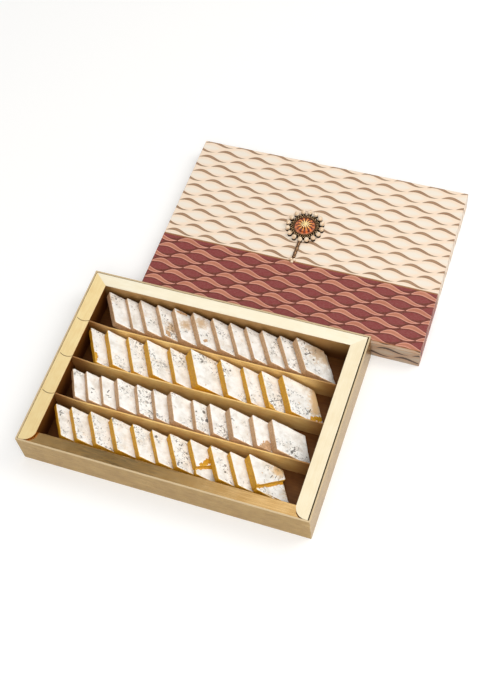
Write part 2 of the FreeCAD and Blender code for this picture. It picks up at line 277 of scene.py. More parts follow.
class Effects:
    """Shader node groups that several finishes share, each built once."""

    @staticmethod
    def start(name: str, inputs: dict[str, float | tuple],
              outputs: tuple[str, ...]) -> tuple[NodeSheet, bpy.types.NodeOutputs, bpy.types.NodeInputs]:
        """Make an empty group.

        Args:
            name: The group's name.
            inputs: Input names with their defaults, a tuple for a vector.
            outputs: Output names, all plain values.

        Returns:
            The group's sheet, its inputs and its outputs, both by name.
        """
        tree = bpy.data.node_groups.new(name, "ShaderNodeTree")
        for label, default in inputs.items():
            kind = "NodeSocketVector" if isinstance(default, tuple) else "NodeSocketFloat"
            tree.interface.new_socket(label, in_out="INPUT", socket_type=kind).default_value = default
        for label in outputs:
            tree.interface.new_socket(label, in_out="OUTPUT", socket_type="NodeSocketFloat")
        sheet = NodeSheet(tree)
        return sheet, sheet.add("NodeGroupInput").outputs, sheet.add("NodeGroupOutput").inputs

    @staticmethod
    @cache
    def foil_grain() -> bpy.types.NodeTree:
        """Rolled foil: slow mottling, fine rolling streaks and a faint relief.

        Returns:
            The node group.
        """
        inputs = {"Vector": ORIGIN, "Stretch": (1.0, 1.0, 1.0)}
        sheet, given, made = Effects.start("foil_grain", inputs, ("Mottle", "Streak", "Height"))
        mottle = sheet.noise(given["Vector"], 85.0, 4.0)
        streak = sheet.noise(sheet.vector("MULTIPLY", given["Vector"], given["Stretch"]), 1.0, 3.0, 0.6)
        fleck = sheet.noise(given["Vector"], 1700.0, 2.0)
        sheet.feed(made["Mottle"], sheet.step(mottle, 0.3, 0.7))
        sheet.feed(made["Streak"], sheet.step(streak, 0.25, 0.75))
        sheet.feed(made["Height"], sheet.weigh(fleck, 0.45, streak, 0.55))
        return sheet.tree

    @staticmethod
    @cache
    def paper_grain() -> bpy.types.NodeTree:
        """Paper: cloudy tone, fine fibres and a tooth for the relief.

        Returns:
            The node group.
        """
        sheet, given, made = Effects.start("paper_grain", {"Vector": ORIGIN}, ("Cloud", "Fibre", "Height"))
        fibre = sheet.noise(sheet.vector("MULTIPLY", given["Vector"], (420.0, 1500.0, 900.0)), 1.0, 4.0, 0.65)
        tooth = sheet.noise(given["Vector"], 2300.0, 2.0)
        sheet.feed(made["Cloud"], sheet.noise(given["Vector"], 38.0, 3.0))
        sheet.feed(made["Fibre"], sheet.step(fibre, 0.3, 0.7))
        sheet.feed(made["Height"], sheet.weigh(tooth, 0.5, fibre, 0.5))
        return sheet.tree

    @staticmethod
    @cache
    def edge_wear() -> bpy.types.NodeTree:
        """Rubbing along an edge, broken up, from the distance to it and a width, both in millimetres.

        Returns:
            The node group.
        """
        inputs = {"Vector": ORIGIN, "Distance": 0.0, "Width": 1.0}
        sheet, given, made = Effects.start("edge_wear", inputs, ("Mask",))
        patchy = sheet.step(sheet.noise(given["Vector"], 160.0, 4.0, 0.65), 0.35, 0.7, 0.15, 1.6)
        reach = sheet.math("MULTIPLY", given["Width"], patchy)
        near = sheet.math("DIVIDE", given["Distance"], sheet.math("MAXIMUM", reach, 0.01))
        sheet.feed(made["Mask"], sheet.step(near, 0.35, 1.0, 1.0, 0.0))
        return sheet.tree

    @staticmethod
    @cache
    def lid_unroll() -> bpy.types.NodeTree:
        """Lay the lid's skin flat: millimetres along and across it from the middle of its top.

        Returns:
            The node group.
        """
        inputs = {"Vector": ORIGIN, "Normal": (0.0, 0.0, 1.0), "Centre": ORIGIN}
        sheet, given, made = Effects.start("lid_unroll", inputs, ("Along", "Across", "Drop"))
        place = sheet.vector("SUBTRACT", given["Vector"], given["Centre"])
        x, y, z = sheet.split(sheet.vector("MULTIPLY", place, (MM_PER_M, MM_PER_M, MM_PER_M)))
        facing_x, facing_y, _ = sheet.split(given["Normal"])
        drop = sheet.math("MULTIPLY", z, -1.0)
        for label, value, facing in (("Along", x, facing_x), ("Across", y, facing_y)):
            side = sheet.math("MULTIPLY", sheet.math("SIGN", value), sheet.math("ABSOLUTE", facing))
            sheet.feed(made[label], sheet.math("MULTIPLY_ADD", side, drop, value))
        sheet.feed(made["Drop"], drop)
        return sheet.tree

    @staticmethod
    @cache
    def wave_leaf() -> bpy.types.NodeTree:
        """S-shaped leaves in a lattice: depth inside one and distance from its midline, in millimetres.

        Returns:
            The node group.
        """
        inputs = {"Along": 0.0, "Across": 0.0, "Period": 34.5, "Pitch": 20.0, "Start": 0.0, "Level": 0.0,
                  "Rise": 1.4, "Width": 4.0, "Span": 0.89, "Taper": 1.6}
        sheet, given, made = Effects.start("wave_leaf", inputs, ("Depth", "Midline"))
        turn = sheet.math("DIVIDE", sheet.math("SUBTRACT", given["Along"], given["Start"]), given["Period"])
        part = sheet.math("DIVIDE", sheet.math("FRACT", turn), given["Span"])
        height = sheet.repeat(given["Across"], given["Level"], given["Pitch"])
        hump = sheet.math("SINE", sheet.math("MULTIPLY", part, math.pi))
        wave = sheet.math("SINE", sheet.math("MULTIPLY", part, math.tau))
        midline = sheet.math("MULTIPLY", sheet.math("MULTIPLY_ADD", hump, 0.72, wave), given["Rise"])
        swell = sheet.math("SINE", sheet.math("MULTIPLY", sheet.math("POWER", part, 0.7), math.pi))
        swell = sheet.math("POWER", sheet.math("MAXIMUM", swell, 0.0), given["Taper"])
        half = sheet.math("MULTIPLY", sheet.math("MULTIPLY", given["Width"], 0.5), swell)
        away = sheet.apart(height, midline)
        sheet.feed(made["Depth"], sheet.math("SUBTRACT", half, away))
        sheet.feed(made["Midline"], away)
        return sheet.tree

    @staticmethod
    @cache
    def eye_spot() -> bpy.types.NodeTree:
        """A lattice of pointed eyes: 1 in the middle of one, 0 on its rim, from sizes in millimetres.

        Returns:
            The node group.
        """
        inputs = {"Along": 0.0, "Across": 0.0, "Period": 34.5, "Pitch": 20.0, "Start": 0.0, "Level": 0.0,
                  "Reach": 9.0, "Height": 3.0}
        sheet, given, made = Effects.start("eye_spot", inputs, ("Depth",))
        shares = []
        ways = (("Along", "Start", "Period", "Reach"), ("Across", "Level", "Pitch", "Height"))
        for place, origin, pitch, size in ways:
            away = sheet.math("ABSOLUTE", sheet.repeat(given[place], given[origin], given[pitch]))
            shares.append(sheet.math("DIVIDE", away, given[size]))
        rounded = sheet.math("MULTIPLY", shares[0], shares[0])
        sheet.feed(made["Depth"], sheet.math("SUBTRACT", sheet.math("SUBTRACT", 1.0, rounded), shares[1]))
        return sheet.tree

    @staticmethod
    @cache
    def silver_leaf() -> bpy.types.NodeTree:
        """Pressed silver leaf: its cover, dark specks, creases, thin places and relief.

        Returns:
            The node group.
        """
        outputs = ("Cover", "Speck", "Crease", "Haze", "Height")
        sheet, given, made = Effects.start("silver_leaf", {"Vector": ORIGIN, "Facing": 1.0}, outputs)
        place = given["Vector"]
        ragged = sheet.noise(place, 320.0, 4.0, 0.65)
        rim = sheet.math("MULTIPLY_ADD", ragged, 0.34, given["Facing"])
        cover = sheet.step(rim, 1.0, 1.08)
        holes = sheet.step(sheet.noise(place, 210.0, 5.0, 0.7), 0.67, 0.7, 1.0, 0.0)
        sheet.feed(made["Cover"], sheet.math("MULTIPLY", cover, holes))
        patch = sheet.step(sheet.noise(place, 44.0, 3.0), 0.46, 0.62)
        grains = sheet.step(sheet.noise(place, 430.0, 3.0, 0.75), 0.55, 0.6)
        stroke = sheet.apart(sheet.noise(place, 230.0, 2.0), 0.5)
        stroke = sheet.math("MULTIPLY", sheet.step(stroke, 0.008, 0.02, 0.9, 0.0),
                            sheet.step(sheet.noise(place, 95.0, 2.0), 0.54, 0.6))
        grains = sheet.math("MAXIMUM", grains, stroke)
        blots = sheet.step(sheet.cells(place, 150.0), 0.12, 0.17, 1.0, 0.0)
        blots = sheet.math("MULTIPLY", blots, sheet.step(sheet.noise(place, 40.0, 2.0), 0.55, 0.6))
        sheet.feed(made["Speck"], sheet.math("MAXIMUM", sheet.math("MULTIPLY", grains, patch), blots))
        fold = sheet.apart(sheet.noise(place, 150.0, 4.0, 0.6), 0.5)
        crease = sheet.step(fold, 0.0, 0.035, 1.0, 0.0)
        sheet.feed(made["Crease"], crease)
        sheet.feed(made["Haze"], sheet.step(sheet.noise(place, 80.0, 4.0, 0.6), 0.52, 0.78, 0.0, 0.4))
        crumple = sheet.noise(place, 420.0, 4.0, 0.65)
        sheet.feed(made["Height"], sheet.math("MULTIPLY_ADD", crease, 0.25, crumple))
        return sheet.tree

    @staticmethod
    @cache
    def torn_patch() -> bpy.types.NodeTree:
        """A ragged patch about a short line, given by its middle and half its run, all in metres.

        Returns:
            The node group.
        """
        inputs = {"Vector": ORIGIN, "Centre": ORIGIN, "Half Run": (0.0001, 0.0, 0.0), "Radius": 0.004}
        sheet, given, made = Effects.start("torn_patch", inputs, ("Mask", "Haze"))
        offset = sheet.vector("SUBTRACT", given["Vector"], given["Centre"])
        along = sheet.vector("DOT_PRODUCT", offset, given["Half Run"], "Value")
        length = sheet.vector("DOT_PRODUCT", given["Half Run"], given["Half Run"], "Value")
        along = sheet.math("MINIMUM", sheet.math("MAXIMUM", sheet.math("DIVIDE", along, length), -1.0), 1.0)
        nearest = sheet.add("ShaderNodeVectorMath", operation="SCALE")
        sheet.feed(nearest.inputs[0], given["Half Run"])
        sheet.feed(nearest.inputs["Scale"], along)
        away = sheet.vector("DISTANCE", offset, nearest.outputs[0], "Value")
        ragged = sheet.step(sheet.noise(given["Vector"], 330.0, 4.0, 0.65), 0.2, 0.8, 0.35, 1.65)
        share = sheet.math("DIVIDE", away, sheet.math("MULTIPLY", given["Radius"], ragged))
        sheet.feed(made["Mask"], sheet.step(share, 0.9, 1.05, 1.0, 0.0))
        sheet.feed(made["Haze"], sheet.step(share, 0.2, 1.3, 1.0, 0.0))
        return sheet.tree


def new_material(name: str) -> tuple[bpy.types.Material, NodeSheet, bpy.types.Node]:
    """Start a material.

    Args:
        name: The material's name.

    Returns:
        The material, a sheet for its nodes and its Principled shader.
    """
    material = bpy.data.materials.new(name)
    material.use_nodes = True
    return material, NodeSheet(material.node_tree), material.node_tree.nodes["Principled BSDF"]


@dataclass(frozen=True)
class FoilCard:
    """Gold foil laminated on card, rolled in one direction and rubbed at its outer edges, and, where set, with
    painted shade on its steep faces and on its two ends.
    """

    name: str
    bright: Colour
    deep: Colour
    roughness: float = 0.24
    stretch: tuple[float, float, float] = (60.0, 1300.0, 1300.0)
    metallic: float = 0.4
    rubbed_box: tuple[float, float, float] | None = None
    # painted shade for steep faces: two colours from the foot to the top, darker at the foot, with their own
    # metal and roughness
    upright: tuple[Colour, Colour] | None = None
    painted_wall_shade_metallic: float = 0.55
    painted_wall_shade_rough: float = 0.25
    painted_wall_shade_tilt: tuple[float, float] = (0.3, 0.6)
    painted_wall_shade_heights: tuple[float, float] = (0.010, 0.036)
    # painted shade at the two ends, where the dark corners are: its colour, its reach from the middle and its
    # share
    ends: Colour | None = None
    painted_end_shade_reach: tuple[float, float] = (0.085, 0.122)
    painted_end_shade_share: float = 0.85
    core: Colour = shown(226, 205, 168)
    core_share: float = 0.75
    worn_rough: float = 0.3
    worn_metallic: float = 0.35
    worn_width: float = 0.7

    def worn(self, sheet: NodeSheet, place: Socket) -> Socket:
        """Mask the rubbed corners and the top edge of an upright box.

        Args:
            sheet: The material's nodes.
            place: Object coordinates.

        Returns:
            The mask.
        """
        x, y, z = sheet.split(place)
        half_x, half_y, top = self.rubbed_box
        sides = [sheet.apart(half, sheet.math("ABSOLUTE", way)) for half, way in ((half_x, x), (half_y, y))]
        near = sheet.math("MINIMUM", sheet.math("MAXIMUM", *sides), sheet.apart(top, z))
        distance = sheet.math("MULTIPLY", near, MM_PER_M)
        wear = sheet.group(Effects.edge_wear(), Vector=place, Distance=distance, Width=self.worn_width)
        return wear.outputs["Mask"]

    def material(self) -> bpy.types.Material:
        """Build the foil's material.

        Returns:
            The material.
        """
        material, sheet, shader = new_material(self.name)
        place = sheet.place()
        grain = sheet.group(Effects.foil_grain(), Vector=place, Stretch=self.stretch)
        tone = sheet.weigh(grain.outputs["Streak"], 0.6, grain.outputs["Mottle"], 0.4)
        colour = sheet.mix(tone, self.deep, self.bright)
        gloss = sheet.step(grain.outputs["Streak"], 0.0, 1.0, self.roughness + 0.05, self.roughness - 0.04)
        metal: Feed = self.metallic
        # painted shade: steep faces take the dark wall colours, darker towards the foot, rougher and less
        # metallic
        if self.upright:
            _, _, z = sheet.split(place)
            _, _, tilt = sheet.split(sheet.normal())
            steep = sheet.step(sheet.math("ABSOLUTE", tilt), *self.painted_wall_shade_tilt, 1.0, 0.0)
            painted_wall_tone = sheet.mix(sheet.step(z, *self.painted_wall_shade_heights), *self.upright)
            colour = sheet.mix(steep, colour, painted_wall_tone)
            gloss = sheet.math("MULTIPLY_ADD", steep, self.painted_wall_shade_rough, gloss)
            if self.metallic > self.painted_wall_shade_metallic:
                metal = sheet.step(steep, 0.0, 1.0, self.metallic, self.painted_wall_shade_metallic)
        # painted shade: the foil darkens towards both ends, for the dark corners there
        if self.ends:
            along, _, _ = sheet.split(place)
            shaded = sheet.step(sheet.math("ABSOLUTE", along), *self.painted_end_shade_reach, 0.0, self.painted_end_shade_share)
            colour = sheet.mix(shaded, colour, self.ends)
        if self.rubbed_box:
            worn = self.worn(sheet, place)
            colour = sheet.mix(sheet.math("MULTIPLY", worn, self.core_share), colour, self.core)
            gloss = sheet.math("MULTIPLY_ADD", worn, self.worn_rough, gloss)
            metal = sheet.step(worn, 0.0, 1.0, self.metallic, self.worn_metallic)
        sheet.fill(
            shader,
            Metallic=metal,
            Base_Color=colour,
            Roughness=gloss,
            Normal=sheet.bump(grain.outputs["Height"], 0.08, 0.00006))
        return material


@dataclass(frozen=True)
class BareBoard:
    """Unprinted grey-cream board, as inside the lid."""

    name: str
    light: Colour = shown(228, 216, 196)
    dark: Colour = shown(200, 184, 160)

    def material(self) -> bpy.types.Material:
        """Build the board's material.

        Returns:
            The material.
        """
        material, sheet, shader = new_material(self.name)
        place = sheet.place()
        grain = sheet.group(Effects.paper_grain(), Vector=place)
        tone = sheet.weigh(grain.outputs["Fibre"], 0.5, grain.outputs["Cloud"], 0.5)
        sheet.fill(
            shader,
            Base_Color=sheet.mix(tone, self.dark, self.light),
            Roughness=sheet.step(grain.outputs["Fibre"], 0.0, 1.0, 0.82, 0.94),
            Normal=sheet.bump(grain.outputs["Height"], 0.3, 0.0001))
        return material


@dataclass(frozen=True)
class PrintedPaper:
    """Matt paper printed with a lattice of S-shaped leaves, in lid millimetres."""

    name: str
    ground: Colour
    lens: Colour
    leaf: Colour
    leaf_deep: Colour
    rise: float
    width: float
    span: float
    taper: float
    eye: tuple[float, float, float, float]
    centre: tuple[float, float, float]
    half_size: tuple[float, float]
    outline: Colour
    vein: Colour
    vein_share: float = 0.5
    eye_edge: float = 0.5
    outline_band: tuple[float, float] = (0.35, 0.8)
    rules: tuple[tuple[float, float], ...] = ()
    rule: Colour = shown(150, 96, 42)
    period: float = 34.5
    pitch: float = 20.0
    first_row: float = 3.0
    faded: Colour = shown(236, 222, 205)
    worn: Colour = shown(196, 164, 138)
    worn_share: float = 0.4
    worn_width: float = 0.6

    def leaves(self, sheet: NodeSheet, spot: bpy.types.Node) -> tuple[Socket, Socket, Socket]:
        """Lay both sets of rows, the second half a step along and down from the first.

        Args:
            sheet: The material's nodes.
            spot: The unrolled place.

        Returns:
            The depth inside the nearest leaf, the distance from its midline and the depth inside
            the nearest eye.
        """
        depths, midlines, eyes = [], [], []
        right, below, reach, height = self.eye
        for half in (0.0, 0.5):
            start = half * self.period - self.half_size[0]
            level = self.half_size[1] - self.first_row - half * self.pitch
            shared = {"Along": spot.outputs["Along"], "Across": spot.outputs["Across"], "Period": self.period,
                      "Pitch": self.pitch}
            leaf = sheet.group(Effects.wave_leaf(), **shared, Start=start, Level=level, Rise=self.rise,
                               Width=self.width, Span=self.span, Taper=self.taper)
            eye = sheet.group(Effects.eye_spot(), **shared, Start=start + right, Level=level - below,
                              Reach=reach, Height=height)
            depths.append(leaf.outputs["Depth"])
            midlines.append(leaf.outputs["Midline"])
            eyes.append(eye.outputs["Depth"])
        return sheet.math("MAXIMUM", *depths), sheet.math("MINIMUM", *midlines), sheet.math("MAXIMUM", *eyes)

    def material(self) -> bpy.types.Material:
        """Build the paper's material.

        Returns:
            The material.
        """
        material, sheet, shader = new_material(self.name)
        place = sheet.place()
        normal = sheet.normal()
        grain = sheet.group(Effects.paper_grain(), Vector=place)
        spot = sheet.group(Effects.lid_unroll(), Vector=place, Normal=normal, Centre=self.centre)
        depth, midline, eye = self.leaves(sheet, spot)
        tone = sheet.step(grain.outputs["Cloud"], 0.35, 0.65)
        colour = sheet.mix(sheet.step(eye, 0.0, self.eye_edge), self.ground, self.lens)
        ink = sheet.mix(tone, self.leaf_deep, self.leaf)
        vein = sheet.step(midline, 0.25, 0.55, self.vein_share, 0.0)
        vein = sheet.math("MULTIPLY", vein, sheet.step(depth, 0.5, 1.2))
        ink = sheet.mix(vein, ink, self.vein)
        ink = sheet.mix(sheet.step(depth, *self.outline_band, 0.9, 0.0), ink, self.outline)
        colour = sheet.mix(sheet.step(depth, -0.06, 0.18), colour, ink)
        for across, breadth in self.rules:
            away = sheet.apart(spot.outputs["Across"], across)
            colour = sheet.mix(sheet.step(away, breadth * 0.4, breadth * 0.6, 0.9, 0.0), colour, self.rule)
        inked = sheet.math("MULTIPLY_ADD", grain.outputs["Fibre"], 0.06, 0.95)
        colour = sheet.mix(sheet.math("SUBTRACT", 1.0, inked), colour, self.faded)
        sides = [sheet.apart(half, sheet.math("ABSOLUTE", spot.outputs[way]))
                 for half, way in zip(self.half_size, ("Along", "Across"))]
        near = sheet.math("MINIMUM", *sides)
        wear = sheet.group(Effects.edge_wear(), Vector=place, Distance=near, Width=self.worn_width)
        rubbed = sheet.math("MULTIPLY", wear.outputs["Mask"], self.worn_share)
        colour = sheet.mix(rubbed, colour, self.worn)
        sheet.fill(
            shader,
            Base_Color=colour,
            Roughness=sheet.step(grain.outputs["Fibre"], 0.0, 1.0, 0.46, 0.6),
            Normal=sheet.bump(grain.outputs["Height"], 0.18, 0.00006))
        return material


class Mark(Enum):
    """What a mark on a leafed face is: a tear down to the paste, a dark spot, or leaf rubbed thin."""

    TEAR = "tear"
    SPOT = "spot"
    THIN = "thin"


@dataclass(frozen=True)
class LeafMark:
    """A mark on the leaf: its middle, half its run and its radius in metres, and what it is."""

    centre: tuple[float, float, float]
    half_run: tuple[float, float, float]
    radius: float
    kind: Mark


@dataclass(frozen=True)
class LeafedPaste:
    """Sweet paste with silver leaf pressed on its upper face, and a painted highlight on the paste along the
    leaf's edge.
    """

    name: str
    paste: Colour
    paste_deep: Colour
    facing: tuple[float, float, float]
    thin: Colour
    # painted highlight: a lighter paste colour on the rounded edge round the leaf
    rim: Colour
    leaf: Colour = shown(255, 254, 250)
    leaf_grey: Colour = shown(232, 227, 218)
    speck: Colour = shown(52, 42, 32)

    def material(self, marks: list[LeafMark]) -> bpy.types.Material:
        """Build the slices' material.

        Args:
            marks: Where the leaf is torn, spotted or rubbed thin.

        Returns:
            The material.
        """
        material, sheet, shader = new_material(self.name)
        place = sheet.place()
        normal = sheet.normal()
        facing = sheet.vector("DOT_PRODUCT", normal, self.facing, "Value")
        silver = sheet.group(Effects.silver_leaf(), Vector=place, Facing=facing)
        cover, specks, haze = silver.outputs["Cover"], silver.outputs["Speck"], silver.outputs["Haze"]
        for mark in marks:
            patch = sheet.group(Effects.torn_patch(), Vector=place, Centre=mark.centre, Half_Run=mark.half_run,
                                Radius=mark.radius)
            if mark.kind is Mark.SPOT:
                specks = sheet.math("MAXIMUM", specks, patch.outputs["Mask"])
            elif mark.kind is Mark.THIN:
                haze = sheet.math("MAXIMUM", haze, patch.outputs["Haze"])
            else:
                cover = sheet.math("MULTIPLY", cover, sheet.math("SUBTRACT", 1.0, patch.outputs["Mask"]))
        crumb = sheet.noise(place, 620.0, 4.0, 0.7)
        paste = sheet.mix(sheet.step(crumb, 0.32, 0.66), self.paste_deep, self.paste)
        # painted highlight: the paste lightens on the rounded edges between the sides and the leafed top
        edge = sheet.step(facing, 0.5, 0.7, 0.0, 0.75)
        edge = sheet.math("MULTIPLY", edge, sheet.step(facing, 0.88, 0.97, 1.0, 0.0))
        paste = sheet.mix(edge, paste, self.rim)
        tone = sheet.step(sheet.noise(place, 130.0, 4.0, 0.6), 0.4, 0.72)
        silvered = sheet.mix(tone, self.leaf, self.leaf_grey)
        silvered = sheet.mix(sheet.math("MULTIPLY", silver.outputs["Crease"], 0.22), silvered, self.leaf_grey)
        silvered = sheet.mix(sheet.math("MULTIPLY", haze, 0.85), silvered, self.thin)
        silvered = sheet.mix(sheet.math("MULTIPLY", specks, 0.85), silvered, self.speck)
        relief = sheet.weigh(crumb, 0.5, silver.outputs["Height"], 0.6)
        sheet.fill(
            shader,
            Base_Color=sheet.mix(cover, paste, silvered),
            Metallic=sheet.math("MULTIPLY", cover, 0.12),
            Roughness=sheet.step(cover, 0.0, 1.0, 0.62, 0.42),
            Normal=sheet.bump(relief, 0.35, 0.0003))
        return material


@dataclass(frozen=True)
class AntiqueBronze:
    """Darkened bronze, bright where it is handled: from dark to bright between two heights over a plate."""

    name: str
    dark: Colour
    bright: Colour
    low: float
    high: float

    def material(self, top: float) -> bpy.types.Material:
        """Build the bronze's material.

        Args:
            top: The height of the plate's face.

        Returns:
            The material.
        """
        material, sheet, shader = new_material(self.name)
        place = sheet.place()
        _, _, z = sheet.split(place)
        grain = sheet.noise(place, 2000.0, 4.0, 0.65)
        proud = sheet.step(z, top + self.low, top + self.high)
        shine = sheet.step(sheet.math("MULTIPLY_ADD", grain, 0.8, proud), 0.45, 1.25)
        sheet.fill(
            shader,
            Base_Color=sheet.mix(shine, self.dark, self.bright),
            Metallic=1.0,
            Roughness=sheet.step(shine, 0.0, 1.0, 0.5, 0.24),
            Normal=sheet.bump(grain, 0.3, 0.0002))
        return material


@dataclass(frozen=True)
class AmberGem:
    """Foil-backed amber stone with a painted star reflection: rays of painted glints from its middle, a painted
    highlight at its heart and a faint painted glow.
    """

    name: str
    centre: tuple[float, float, float]
    radius: float
    rays: int = 12
    # the colours below: the dark and light facets of the painted rays, the rim, the painted glints of the star
    # and its heart, and the two colours of a painted glow
    shade: Colour = shown(96, 30, 6)
    amber: Colour = shown(224, 124, 50)
    rim: Colour = shown(206, 116, 76)
    painted_ray_glint: Colour = shown(250, 180, 70)
    painted_star_highlight: Colour = shown(255, 244, 186)
    painted_glow_dim: Colour = (0.02, 0.006, 0.001, 1.0)
    glow: Colour = (1.0, 0.8, 0.4, 1.0)

    def material(self) -> bpy.types.Material:
        """Build the stone's material.

        Returns:
            The material.
        """
        material, sheet, shader = new_material(self.name)
        place = sheet.place()
        x, y, _ = sheet.split(sheet.vector("SUBTRACT", place, self.centre))
        y = sheet.math("SUBTRACT", y, self.radius * 0.12)
        away = sheet.math("SQRT", sheet.math("MULTIPLY_ADD", x, x, sheet.math("MULTIPLY", y, y)))
        out = sheet.math("DIVIDE", away, self.radius)
        angle = sheet.math("ARCTAN2", y, x)
        wobble = sheet.math("MULTIPLY", sheet.noise(place, 260.0, 2.0), 1.2)
        # painted reflection: light and dark facets in rays from the middle
        painted_ray = sheet.math("COSINE", sheet.math("MULTIPLY_ADD", angle, float(self.rays), wobble))
        body = sheet.mix(sheet.step(painted_ray, -0.3, 0.6), self.shade, self.amber)
        body = sheet.mix(sheet.step(out, 0.75, 1.0, 0.0, 0.6), body, self.rim)
        # painted star reflection, brightest as a painted highlight at its heart
        painted_star = sheet.math("SUBTRACT", sheet.step(painted_ray, -0.5, 0.95, 0.12, 0.6), out)
        colour = sheet.mix(sheet.step(painted_star, -0.16, 0.08), body, self.painted_ray_glint)
        core = sheet.step(painted_star, 0.04, 0.28)
        colour = sheet.mix(core, colour, self.painted_star_highlight)
        # the heart of the star glows a little: a painted glow, though the stone is no lamp
        sheet.fill(
            shader,
            Base_Color=colour,
            Emission_Color=sheet.mix(core, self.painted_glow_dim, self.glow),
            Emission_Strength=0.3,
            Metallic=0.35,
            Roughness=sheet.step(painted_ray, -1.0, 1.0, 0.14, 0.07),
            Coat_Weight=0.6,
            Coat_Roughness=0.03)
        return material


@dataclass(frozen=True)
class PearlLacquer:
    """Cream bead with a pearl lacquer."""

    name: str
    light: Colour = shown(250, 231, 204)
    dark: Colour = shown(222, 187, 148)

    def material(self) -> bpy.types.Material:
        """Build the bead's material.

        Returns:
            The material.
        """
        material, sheet, shader = new_material(self.name)
        place = sheet.place()
        cloud = sheet.noise(place, 340.0, 3.0, 0.6)
        fine = sheet.noise(place, 1500.0, 2.0)
        sheet.fill(
            shader,
            Base_Color=sheet.mix(sheet.step(cloud, 0.36, 0.62), self.dark, self.light),
            Roughness=sheet.step(fine, 0.3, 0.7, 0.2, 0.34),
            Coat_Weight=0.6,
            Coat_Roughness=0.08,
            Normal=sheet.bump(fine, 0.06, 0.0001))
        return material


class Bench:
    """Modelling steps that the sub-assemblies share."""

    @staticmethod
    def clear() -> None:
        """Leave edit mode and deselect everything."""
        if bpy.context.object and bpy.context.object.mode != "OBJECT":
            bpy.ops.object.mode_set(mode="OBJECT")
        bpy.ops.object.select_all(action="DESELECT")

    @staticmethod
    def pick(*pieces: bpy.types.Object) -> None:
        """Select pieces alone, with the first one active.

        Args:
            *pieces: What to select.
        """
        Bench.clear()
        for piece in pieces:
            piece.select_set(True)
        bpy.context.view_layer.objects.active = pieces[0]

    @staticmethod
    def edit(piece: bpy.types.Object, action: str = "SELECT") -> None:
        """Open a piece in edit mode with all of it selected, or none of it.

        Args:
            piece: The piece to open.
            action: SELECT or DESELECT.
        """
        Bench.pick(piece)
        bpy.ops.object.mode_set(mode="EDIT")
        bpy.ops.mesh.select_all(action=action)

    @staticmethod
    def modify(piece: bpy.types.Object, kind: str, **settings: object) -> None:
        """Add a modifier, set it and apply it.

        Args:
            piece: The piece to change.
            kind: The modifier's type name.
            **settings: Properties to set on the modifier.
        """
        Bench.pick(piece)
        bpy.ops.object.modifier_add(type=kind)
        modifier = piece.modifiers[-1]
        for name, value in settings.items():
            setattr(modifier, name, value)
        bpy.ops.object.modifier_apply(modifier=modifier.name)

    @staticmethod
    def copy_of(piece: bpy.types.Object, place: Matrix) -> bpy.types.Object:
        """Copy a piece with its own mesh.

        Args:
            piece: The piece to copy.
            place: Where the copy goes.

        Returns:
            The copy.
        """
        copy = piece.copy()
        copy.data = piece.data.copy()
        copy.data.transform(place)
        bpy.context.scene.collection.objects.link(copy)
        return copy

    @staticmethod
    def from_node(node: str) -> bpy.types.Object:
        """Copy a CAD node's solids into a free piece and merge its loose triangles.

        Args:
            node: The node's name.

        Returns:
            The free piece.
        """
        piece = Bench.copy_of(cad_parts[node], Matrix.Identity(4))
        piece.parent = None
        for key in list(piece.keys()):
            del piece[key]
        Bench.edit(piece)
        bpy.ops.mesh.remove_doubles(threshold=WELD)
        bpy.ops.object.mode_set(mode="OBJECT")
        piece.data.materials.clear()
        return piece

    @staticmethod
    def join(pieces: list[bpy.types.Object], name: str) -> bpy.types.Object:
        """Join pieces into one and name it.

        Args:
            pieces: What to join.
            name: The result's name.

        Returns:
            The joined piece.
        """
        Bench.pick(*pieces)
        if len(pieces) > 1:
            bpy.ops.object.join()
        pieces[0].name = name
        pieces[0].data.name = name
        return pieces[0]

    @staticmethod
    def settle(piece: bpy.types.Object, name: str, smooth_degrees: float = 40.0) -> bpy.types.Object:
        """Put a piece's place into its mesh, name it and smooth its shallow edges.

        Args:
            piece: The piece to settle.
            name: Its name.
            smooth_degrees: Edges that turn less than this look smooth.

        Returns:
            The piece.
        """
        Bench.pick(piece)
        bpy.ops.object.transform_apply(location=True, rotation=True, scale=True)
        bpy.ops.object.shade_smooth_by_angle(angle=math.radians(smooth_degrees))
        piece.name = name
        piece.data.name = name
        return piece

    @staticmethod
    def dress(piece: bpy.types.Object, material: bpy.types.Material) -> None:
        """Give all of a piece one material."""
        piece.data.materials.clear()
        piece.data.materials.append(material)


